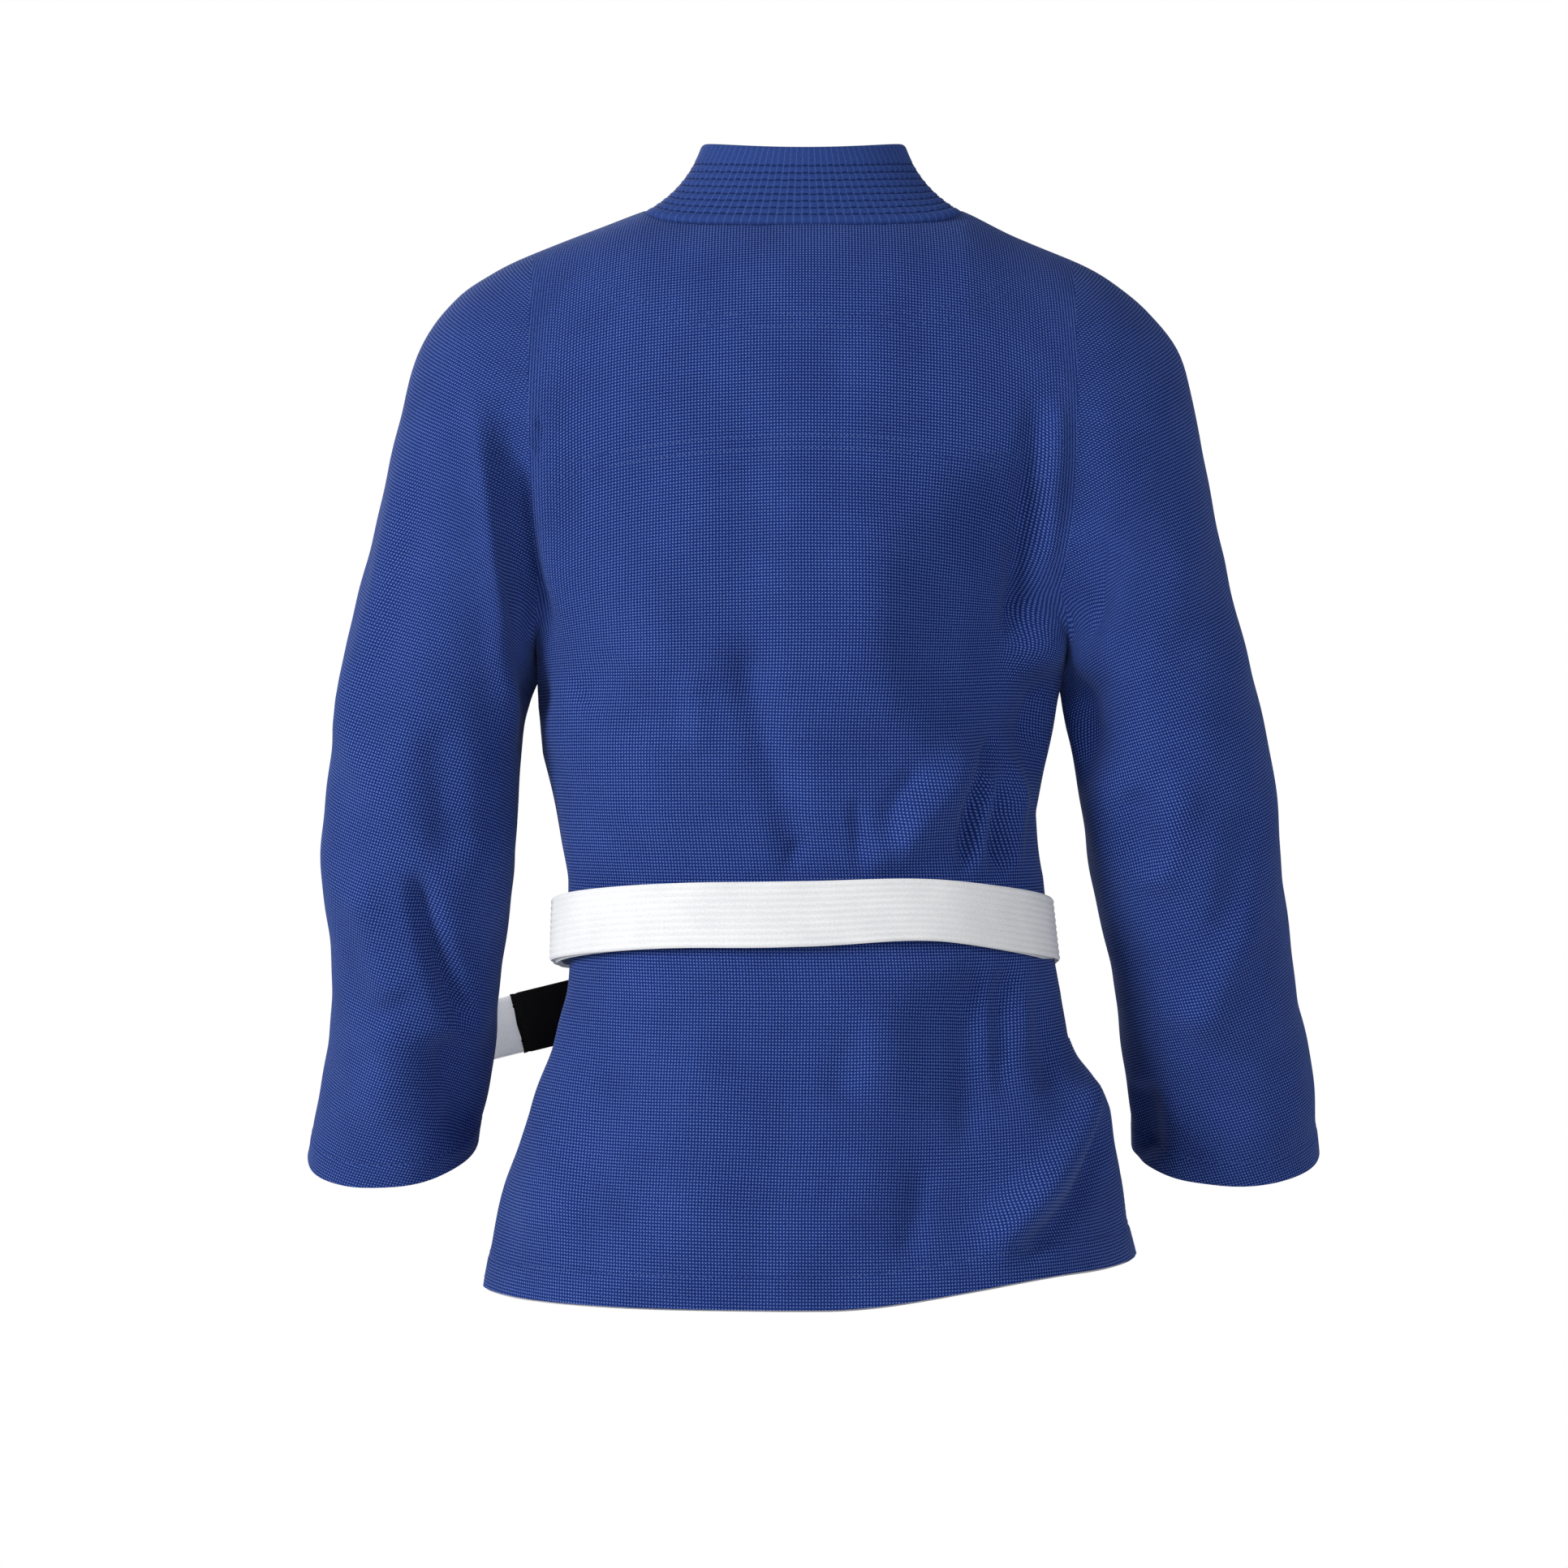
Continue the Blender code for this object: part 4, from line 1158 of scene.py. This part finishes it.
def strip_object(name, strip, shares, thickness, material, grooves=(), cap=True):
    points = strip.section(shares, thickness, grooves)
    if cap:
        ends = (points[:1], points[-1:])
        first, last = ((end + end.mean(axis=1, keepdims=True)) / 2 for end in ends)
        points = np.concatenate([first, points, last])
    fresh = grid_normals(points, closed=True)[len(points) // 2, len(shares) // 2]
    outward = np.sum(fresh * strip.normal[len(strip.normal) // 2]) > 0
    obj = grid_mesh(name, points, closed=True, flip=not outward, even_rows=True)
    mesh = obj.data
    ends = bmesh.new()
    ends.from_mesh(mesh)
    bmesh.ops.holes_fill(ends, edges=[edge for edge in ends.edges if edge.is_boundary], sides=0)
    ends.to_mesh(mesh)
    ends.free()
    mesh.shade_smooth()
    return finish_piece(obj, material)


*COLLAR_EDGES, COLLAR_STAND, COLLAR_LENGTH = collar_path(660)
COLLAR_HOLLOW = 0.0065 * COLLAR_STAND[:, 0] * (1 - 0.6 * smooth(COLLAR_EDGES[0][:, 1], 0.0, 0.045))
COLLAR = Strip(*COLLAR_EDGES, hollow=COLLAR_HOLLOW)
collar = strip_object("collar_strip", COLLAR, np.linspace(0, 1, 57), LAPEL_T, COLLAR_CLOTH,
                      ROW_SHARES)
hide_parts("collar_cover", "left_lapel_end", "right_lapel_end")
skirt_blend(collar)

COLLAR_GAP = 0.0006
collar_run = np.linspace(0, COLLAR_LENGTH, len(COLLAR_STAND))
collar_rows = [stitch_row(COLLAR.face([share], LAPEL_T / 2 - 0.0007)[:, 0], COLLAR.normal,
                          COLLAR_STITCH - COLLAR_GAP, COLLAR_GAP, 0.00042, run=collar_run,
                          step=0.00022) for share in ROW_SHARES]
# The collar's stitches are real thread, coloured dark as painted shade of the grooves they lie in
collar_stitches = stitch_mesh("collar_stitches", collar_rows, PAINTED_SHADE_THREAD)
skirt_blend(collar_stitches)

standing = np.where(COLLAR_STAND[:, 0] > 0.5)[0]
core = Strip(*(part[standing] for part in COLLAR_EDGES), hollow=COLLAR_HOLLOW[standing])
foam = strip_object("collar_foam", core, np.linspace(0.14, 0.86, 15), LAPEL_T - 0.0034, FOAM)
fasten(foam, "jacket", "collar_core")

# ---------------------------------------------------------------- belt

BELT_OVER_LAPEL = 0.0072
BELT_STAND = 0.0019
BELT_LEAN = 0.0030
WRAP_GAP = 0.0006
BELT_GROOVES = (np.arange(9) + 1) / 10
# The belt's stitches: length, gap and radius
BELT_PATTERN = (0.0024, 0.0010, 0.00024)


def belt_point(turn, rise, layer):
    """A point of a belt wrap: turn goes round the waist, rise is the share of the belt's width."""
    cosine, sine = np.cos(turn), np.sin(turn)
    z = BELT_Z + BELT_RISE * sine + (rise - 0.5) * BELT_WIDTH
    sag = 0.0045 * np.exp(-((cosine + 0.42) / 0.30) ** 2) * smooth(sine, 0.0, 0.5)
    sag = sag - 0.0012 * np.exp(-((cosine - 0.1) / 0.25) ** 2) * smooth(sine, 0.0, 0.5)
    z = z + sag * (1 - 0.45 * rise) - 0.0016 * (1 - layer) * np.abs(cosine) ** 4
    before, here, ahead = (body_face(turn + step, BELT_Z - ARMPIT_Z, even=True)
                           for step in (-0.004, 0.0, 0.004))
    tangent = unit(ahead - before)
    normal = unit(np.stack([tangent[..., 1], -tangent[..., 0], 0 * tangent[..., 0]], -1))
    lift = BELT_STAND + BELT_OVER_LAPEL * smooth(-sine, 0.0, 0.4) + BELT_T
    lift = lift + layer * (BELT_T + WRAP_GAP)
    lift = lift + (0.5 - rise) * BELT_LEAN * (0.4 + smooth(-cosine, 0.2, 1.0))
    point = here + normal * lift[..., None]
    point[..., 2] = z
    return point


def belt_sheet(layer):
    turn = np.linspace(0, TAU, 1200)
    rises = np.linspace(0, 1, 51)
    rows = np.array([belt_point(turn, rise, layer) for rise in rises])
    points = evened(rows, np.linspace(0, 1, 373))[:, :-1]
    sheet = facing_out(Sheet(points, closed=True))
    dent = sum(np.exp(-((rises - g) * BELT_WIDTH / 0.0009) ** 2) for g in BELT_GROOVES)
    edge = np.minimum(rises, 1 - rises) * BELT_WIDTH
    lift = -0.00070 * dent - 0.0011 * (1 - smooth(edge, 0.0, 0.0016))
    lift_sheet(sheet, lift[:, None] + 0 * points[..., 0]
               + soft_waves(points, 21 + layer, 0.060, 0.00035))
    return sheet


BELT = {layer: belt_sheet(layer) for layer in (0, 1)}
for layer, name in enumerate(("inner", "outer")):
    band = sheet_object(f"belt_{name}_band", BELT[layer], BELT_CLOTH, BELT_T - 0.0002)
    fasten(band, "jacket", f"belt_{name}_wrap")


def sheet_row(sheet, u, v, lift, *pattern, **more):
    """A row of stitches on a sheet, along a line of its shares u and v."""
    u, v = np.broadcast_arrays(np.asarray(u, float), np.asarray(v, float))
    return stitch_row(sheet.at(u, v, lift), sheet.normal(u, v), *pattern, **more)


belt_rows = [sheet_row(BELT[1], np.linspace(0, 1, 700), groove, 0.0, *BELT_PATTERN)
             for groove in BELT_GROOVES]
fasten(stitch_mesh("belt_stitches", belt_rows, WHITE_STITCH), "jacket")

# ---------------------------------------------------------------- knot and tails

KNOT_LOW, KNOT_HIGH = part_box("belt_knot")
KNOT = np.array((KNOT_LOW + KNOT_HIGH) / 2)
TAIL_LENGTH = 0.270
TAIL_DROP = {1: math.radians(13.9), -1: math.radians(50)}
TAIL_LEAN = {1: math.radians(2), -1: math.radians(15)}
KNOT_DEPTH, TAIL_GAP = 0.012, 0.0008
TAIL_NEAR = KNOT[1] - KNOT_DEPTH - TAIL_GAP - BELT_T / 2
TAIL_FRONT = {1: TAIL_NEAR, -1: TAIL_NEAR - 0.0055}
BAR_START, BAR_LENGTH = 0.115, 0.097


def tail_axes(side):
    """Origin and axes of a tail: along it, through its thickness, and across it."""
    drop, lean = TAIL_DROP[side], TAIL_LEAN[side]
    along = np.array([side * math.cos(drop), 0, -math.sin(drop)])
    along = unit(along * math.cos(lean) + np.array([0, -math.sin(lean), 0]))
    through = unit(np.array([0, 1, 0]) - along * along[1])
    return np.array([KNOT[0], TAIL_FRONT[side], KNOT[2]]), along, through, np.cross(along, through)


BELT_SHARES = np.linspace(0, 1, 41)


def belt_strap(name, middle, across, width, thickness=BELT_T - 0.0003):
    """A length of belt along a line of middles, with the direction across it at each one."""
    half = unit(across) * np.broadcast_to(np.asarray(width) / 2, (len(middle),))[:, None]
    out = np.broadcast_to(np.array([0.0, -1.0, 0.0]), middle.shape)
    strip = Strip(middle - half, middle + half, out)
    return strip_object(name, strip, BELT_SHARES, thickness, BELT_CLOTH, BELT_GROOVES), strip


def strap_stitches(strip):
    """Rows of stitches on both faces of a strap, its outer face first in each pair."""
    return [stitch_row(strip.face([share], face * (BELT_T / 2 - 0.0004))[:, 0], face * strip.normal,
                       *BELT_PATTERN) for share in BELT_GROOVES for face in (1, -1)]


for side in (1, -1):
    name = SIDE_NAMES[side]
    origin, along, through, up = tail_axes(side)
    reach = np.linspace(0.004, TAIL_LENGTH, 150)
    swell = 0.0018 * np.sin(reach * 31) * smooth(reach, 0.0, 0.06)
    loose = smooth(reach, BAR_START + BAR_LENGTH + 0.004, TAIL_LENGTH + 0.03) if side > 0 else \
        smooth(reach, 0.09, 0.30)
    # the bar keeps its tail flat
    held = smooth(reach, 0.070, BAR_START - 0.006) * (1 - smooth(reach, 0.216, 0.235))
    flat = 1 - held if side > 0 else 1
    middle = origin + along * reach[:, None] + through * (swell * flat + 0.010 * loose**2)[:, None]
    turn = (0.10 if side > 0 else 0.45) * loose
    across = up * np.cos(turn)[:, None] + through * np.sin(turn)[:, None]
    pinch = 1 - 0.30 * (1 - smooth(reach, 0.005, 0.055))
    tail, strip = belt_strap(f"belt_tail_{name}", middle, across, BELT_WIDTH * pinch)
    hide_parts(f"{name}_belt_tail")
    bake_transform(tail)
    stitches = stitch_mesh(f"belt_tail_stitches_{name}", strap_stitches(strip), WHITE_STITCH)
    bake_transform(stitches)


def rounded_loop(half_y, half_z, count, power=3.2):
    turn = np.linspace(0, TAU, count)
    cosine, sine = np.cos(turn), np.sin(turn)
    return (np.sign(cosine) * np.abs(cosine) ** (2 / power) * half_y,
            np.sign(sine) * np.abs(sine) ** (2 / power) * half_z)


def make_knot():
    """A square knot: a strap bound round the wraps, and one that crosses it and tucks in behind."""
    y, z = rounded_loop(0.0150, 0.0255, 90)
    middle = np.stack([0.0025 * np.sin(np.linspace(0, TAU, 90)), y, z], 1) + KNOT + [0, 0.0015, 0]
    lean = 0.22
    across = np.broadcast_to(np.array([math.cos(lean), 0.0, math.sin(lean)]), middle.shape)
    half = across * 0.0175
    tangent = np.gradient(middle, axis=0)
    out = np.cross(tangent, across)
    if np.sum(out * (middle - KNOT)) < 0:
        out = -out
    loop = Strip(middle - half, middle + half, out)
    bound = strip_object("belt_knot_loop", loop, BELT_SHARES, BELT_T, BELT_CLOTH, BELT_GROOVES,
                         cap=False)
    s = np.linspace(-1, 1, 110)
    x = 0.034 * s
    front = KNOT[1] - 0.0205 + 0.0165 * np.abs(s) ** 3.0
    middle = np.stack([x, front, KNOT[2] + 0.0020 - 0.011 * s + 0.003 * np.sin(3 * s)], 1)
    tilt = 0.28 - 0.10 * s
    across = np.stack([np.sin(tilt), -0.25 * s, np.cos(tilt)], 1)
    width = 0.036 - 0.008 * (1 - s**2) ** 2
    cross, strip = belt_strap("belt_knot_cross", middle, across, width, BELT_T)
    rows = strap_stitches(strip)[::2]
    rows += [stitch_row(loop.face([share], BELT_T / 2 - 0.0006)[:, 0], loop.normal, *BELT_PATTERN)
             for share in BELT_GROOVES]
    fasten(stitch_mesh("belt_knot_stitches", rows, WHITE_STITCH), "jacket")
    fasten(bound, "jacket", "belt_knot")
    fasten(cross, "jacket", "belt_knot")


make_knot()


def make_rank_bar():
    """A black sleeve of cloth sewn round the tail at the wearer's left."""
    origin, along, through, up = tail_axes(1)
    half_t, half_w = BELT_T / 2 + 0.0008, BELT_WIDTH / 2 + 0.0009
    turn = np.linspace(0, TAU, 129)[:-1] - math.pi / 2
    cosine, sine = np.cos(turn), np.sin(turn)
    t = np.sign(sine) * np.abs(sine) ** (2 / 9) * half_t
    w = np.sign(cosine) * np.abs(cosine) ** (2 / 9) * half_w
    reach = np.linspace(BAR_START, BAR_START + BAR_LENGTH, 61)
    edge = np.minimum(reach - BAR_START, BAR_START + BAR_LENGTH - reach)
    snug = -0.0005 * np.exp(-((edge - 0.0030) / 0.0012) ** 2)
    fray = 0.0004 * np.sin(turn * 61) * (edge < 1e-5)[:, None]
    points = (origin + along * (reach[:, None] + fray)[..., None]
              + through * (t * (1 + snug[:, None] / half_t))[..., None]
              + up * (w * (1 + snug[:, None] / half_w))[..., None])
    sheet = facing_out(Sheet(points, closed=True))
    fasten(sheet_object("rank_bar_cloth", sheet, BAR_CLOTH, 0.0006), "left_tail", "rank_bar")
    rows = [sheet_row(sheet, np.linspace(0, 1, 200), share, 0.0, *BELT_PATTERN)
            for share in (0.031, 0.969)]
    fasten(stitch_mesh("rank_bar_stitches", rows, BLACK_STITCH), "left_tail")


make_rank_bar()

# ---------------------------------------------------------------- linings and tapes

INSIDE = -(CLOTH + 0.0003)


def cut_lining(name, sheet, rows, columns, material, below=0.0):
    """A strip of the sheet's own grid laid against its inner side, below by how much it shows."""
    r, c = slice(*rows), slice(*columns)
    points, normals = sheet.points[r, c], sheet.normals[r, c]
    if sheet.closed:
        grids = (points, normals)
        points, normals = (np.concatenate([grid, grid[:, :1]], axis=1) for grid in grids)
    points = points + normals * INSIDE
    if below:
        first = points[:1] + unit(points[:1] - points[1:2]) * below
        points = np.concatenate([first, points[1:]])
    piece = Sheet(points)
    piece.normals = normals
    return sheet_object(name, piece, material, TAPE)


def edge_columns(part, side, count):
    """The columns beside the side seam: the last ones, but the back's first ones at the left."""
    return (0, count) if part == "back" and side > 0 else (-count, None)


def rows_between(low, high):
    return row_at(BACK, low), row_at(BACK, high)


HEM_ROWS = (0, int(np.argmax(hem_distance(BACK)[:, 60] > 0.0200)))
VENT_ROWS = (0, row_at(BACK, VENT_Z - 0.003))
PATCH_ROWS = rows_between(VENT_Z + 0.001, VENT_Z + 0.032)
SEAM_ROWS = rows_between(VENT_Z + 0.036, -0.402)
GUSSET_ROWS = rows_between(-0.398, -0.306)
TAPE_COLUMNS, PATCH_COLUMNS, SEAM_COLUMNS = 10, 16, 7
TAPE_SHOWS = 0.0011

hem = cut_lining("hem_tape_back", BACK, HEM_ROWS, (TAPE_COLUMNS, -TAPE_COLUMNS), TAPE_CLOTH,
                 TAPE_SHOWS)
fasten(hem, "back_skirt_flap", "back_hem_tape")
for side, name in SIDE_NAMES.items():
    sheets = {"back": BACK, "front": FRONTS[side]}
    for part, sheet in sheets.items():
        tape = cut_lining(f"vent_tape_{part}_{name}", sheet, VENT_ROWS,
                          edge_columns(part, side, TAPE_COLUMNS), TAPE_CLOTH)
        skirt_blend(tape)
        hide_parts(f"back_{name}_vent_tape" if part == "back" else f"{name}_front_vent_tape")
    hem = cut_lining(f"hem_tape_front_{name}", FRONTS[side], HEM_ROWS, (14, -TAPE_COLUMNS),
                     TAPE_CLOTH, TAPE_SHOWS)
    fasten(hem, "front_skirt_flaps", f"{name}_front_hem_tape")
    for part, sheet in sheets.items():
        for kind, rows in (("vent_patch", PATCH_ROWS), ("armpit_gusset", GUSSET_ROWS)):
            piece = cut_lining(f"{kind}_{part}_{name}", sheet, rows,
                               edge_columns(part, side, PATCH_COLUMNS), WEAVE)
            fasten(piece, "jacket", f"{name}_{kind}")
    for part, sheet in sheets.items():
        seam = cut_lining(f"side_tape_{part}_{name}", sheet, SEAM_ROWS,
                          edge_columns(part, side, SEAM_COLUMNS), TAPE_CLOTH)
        fasten(seam, "jacket", f"{name}_side_tape")
    cuff = cut_lining(f"cuff_tape_{name}", SLEEVES[side], (1, 16), (0, None), TAPE_CLOTH)
    fasten(cuff, f"{name}_lower_sleeve", f"{name}_cuff_tape")

# ---------------------------------------------------------------- yoke and the cloth's stitches

YOKE_GAP = 0.0085


def yoke_low(x):
    """Lower stitch line of the yoke across the back."""
    return -0.1655 - 0.0145 * (x / 0.15) ** 2


def yoke_high(x):
    """Upper, hanging stitch line, between the shoulders, which turns up at its ends."""
    return -0.0862 + 0.0290 * (x / 0.136) ** 4


def share_at(sheet, column, z):
    """The share of the way up this column at which the cloth has this height."""
    rows = len(sheet.points)
    return np.interp(z, sheet.points[:, column, 2], np.arange(rows) / (rows - 1))


def make_yoke():
    """The second layer of cloth inside the shoulders, from its lower stitch line to the neck."""
    columns = BACK.points.shape[1]
    picked = np.arange(6, columns - 6)
    u = picked / (columns - 1)
    start = np.array([share_at(BACK, c, yoke_low(BACK.points[-40, c, 0]) - 0.004) for c in picked])
    v = start[None] + (0.995 - start)[None] * np.linspace(0, 1, 60)[:, None]
    sheet = Sheet(BACK.at(u[None] + 0 * v, v, INSIDE - 0.0004))
    sheet.normals = BACK.normal(u[None] + 0 * v, v)
    fasten(sheet_object("shoulder_yoke_lining", sheet, WEAVE), "jacket", "shoulder_yoke")


make_yoke()


def back_line(x, z):
    """Shares of the back sheet under a line of (x, z) points, found column by column."""
    rows, columns = BACK.points.shape[:2]
    shares = np.linspace(0, 1, columns)

    def nearest(share, count):
        return np.clip(np.round(share * (count - 1)).astype(int), 0, count - 1)

    u = np.interp(-x, -BACK.points[-60, :, 0], shares)
    for _ in range(4):
        v = np.array([share_at(BACK, c, at) for c, at in zip(nearest(u, columns), z)])
        u = np.array([np.interp(-at, -BACK.points[r, :, 0], shares)
                      for r, at in zip(nearest(v, rows), x)])
    return smoothed(np.stack([u, v], 1), 15).T


# The lockstitch's length, gap and radius, and the length of the dark tube of painted shade in each
# gap
LOCKSTITCH = (0.0026, 0.0012, 0.00027)
HOLE_SHADE = LOCKSTITCH[1] * 1.3


def lockstitch(sheet, u, v):
    """A row of stitches in the light thread, and dark tubes between them that paint the shade in the
    needle holes.
    """
    length, gap, radius = LOCKSTITCH
    return (sheet_row(sheet, u, v, 0.0, length, gap, radius),
            sheet_row(sheet, u, v, -0.0002, HOLE_SHADE, length + gap - HOLE_SHADE, radius * 0.9, phase=0.0))


def body_stitches():
    """Rows of stitches of the jacket, both skirts and both sleeves, and the vents' zigzags."""
    rows = {key: [] for key in ("jacket", "back", "front", 1, -1)}
    zigzags = {"back": [], "front": []}
    for line, ends, count in ((yoke_low, (-0.160, 0.160), 260), (yoke_high, (-0.136, 0.140), 220)):
        x = np.linspace(*ends, count)
        for gap in (0.0, YOKE_GAP):
            rows["jacket"].append(lockstitch(BACK, *back_line(x, line(x) + gap)))
    last_row = len(BACK.points) - 1
    v = np.linspace(*np.array(rows_between(-0.292, -0.060)) / last_row, 200)
    for front in FRONTS.values():
        for column in (4.0, 9.0):
            rows["jacket"].append(lockstitch(front, 1 - column / (front.points.shape[1] - 1), v))
    v = np.linspace(0.0, row_at(BACK, VENT_Z - 0.004) / last_row, 200)
    for sheet, key in ((BACK, "back"), (FRONTS[1], "front"), (FRONTS[-1], "front")):
        hem = (HEM_WIDTH - 0.0012) / FINE_ROW / last_row
        rows[key].append(lockstitch(sheet, np.linspace(0.012, 0.988, 500), hem))
        band = (VENT_BAND - 0.0015) / FINE_COLUMN / (sheet.points.shape[1] - 1)
        for u in ((band, 1 - band) if sheet is BACK else (1 - band,)):
            zigzags[key].append(sheet_row(sheet, u, v, 0.0002, 0.0021, 0.0, 0.00046, swing=0.0016))
    for side, sleeve in SLEEVES.items():
        cuff = (CUFF_WIDTH - 0.0012) / FINE_ROW / (len(sleeve.points) - 1)
        rows[side].append(lockstitch(sleeve, np.linspace(0, 1, 400), cuff))
    return rows, zigzags


STITCHES, ZIGZAGS = body_stitches()
for part, rows in ZIGZAGS.items():
    piece = stitch_mesh(f"stitches_vent_{part}", rows, PALE_STITCH)
    skirt_blend(piece)
for key, rows in STITCHES.items():
    # the dark rows are painted shade in the holes between the light stitches
    for index, (kind, material) in enumerate((("light", BLUE_STITCH), ("dark", PAINTED_SHADE_THREAD))):
        label = SIDE_NAMES.get(key, key)
        chosen = [pair[index] for pair in rows]
        piece = stitch_mesh(f"stitches_{label}_{kind}", chosen, material)
        if key in SKIRT_BODIES:
            skirt_blend(piece)
        else:
            fasten(piece, "jacket" if key == "jacket" else f"{label}_lower_sleeve")


# ---------------------------------------------------------------- floor, light and camera


def area_light(name, place, aim, size, power):
    data = bpy.data.lights.new(name, "AREA")
    data.shape, data.size, data.energy = "DISK", size, power
    lamp = placed(name, data)
    lamp.location = place
    lamp.rotation_euler = (Vector(aim) - Vector(place)).to_track_quat("-Z", "Y").to_euler()


FLOOR_RADIUS, FLOOR_Z, FLOOR_SIDES = 1.6, -1.45, 96


def make_floor():
    mesh = bpy.data.meshes.new("floor")
    turns = [TAU * k / FLOOR_SIDES for k in range(FLOOR_SIDES)]
    ring = [(FLOOR_RADIUS * math.cos(turn), FLOOR_RADIUS * math.sin(turn), FLOOR_Z)
            for turn in turns]
    mesh.from_pydata(ring, [], [tuple(range(FLOOR_SIDES))])
    n = Nodes("floor_paint")
    tone = n.noise(n.new("ShaderNodeTexCoord").outputs["Object"], 3.0)
    paint = n.ramp(tone, [(0.3, (0.78, 0.78, 0.79)), (0.7, (0.84, 0.84, 0.84))])
    mesh.materials.append(n.finish(paint, n.bump(tone, 0.0005, 0.2), 0.7))
    placed("floor", mesh)


def make_world():
    """White behind the object, and a weaker soft light all round it."""
    world = bpy.data.worlds.new("studio")
    world.use_nodes = True
    tree = world.node_tree
    tree.nodes.clear()
    kinds = ("LightPath", "MixShader", "OutputWorld")
    seen, both, out = (tree.nodes.new(f"ShaderNode{kind}") for kind in kinds)
    tree.links.new(seen.outputs["Is Camera Ray"], both.inputs[0])
    soft, white = ((0.92, 0.955, 1.0, 1.0), 0.38), ((1.0, 1.0, 1.0, 1.0), 1.0)
    for socket, (colour, strength) in ((1, soft), (2, white)):
        light = tree.nodes.new("ShaderNodeBackground")
        light.inputs["Color"].default_value = colour
        light.inputs["Strength"].default_value = strength
        tree.links.new(light.outputs[0], both.inputs[socket])
    tree.links.new(both.outputs[0], out.inputs["Surface"])
    bpy.context.scene.world = world


def make_camera():
    data = bpy.data.cameras.new("camera")
    data.lens = 84.7
    data.sensor_width = 36.0
    camera = placed("camera", data)
    camera.location = (0.0132, 2.5, -0.3828)
    camera.rotation_euler = (math.pi / 2, 0, math.pi)
    bpy.context.scene.camera = camera


make_floor()
make_world()
make_camera()
bpy.context.scene.view_settings.view_transform = "Standard"
for light in (("key", (2.4, 1.6, 0.35), (0, 0, -0.35), 1.2, 82),
              ("fill", (-1.4, 2.4, 0.3), (0, 0, -0.4), 1.6, 27),
              ("front", (0.8, -2.4, 0.8), (0, 0, -0.4), 2.0, 40)):
    area_light(*light)
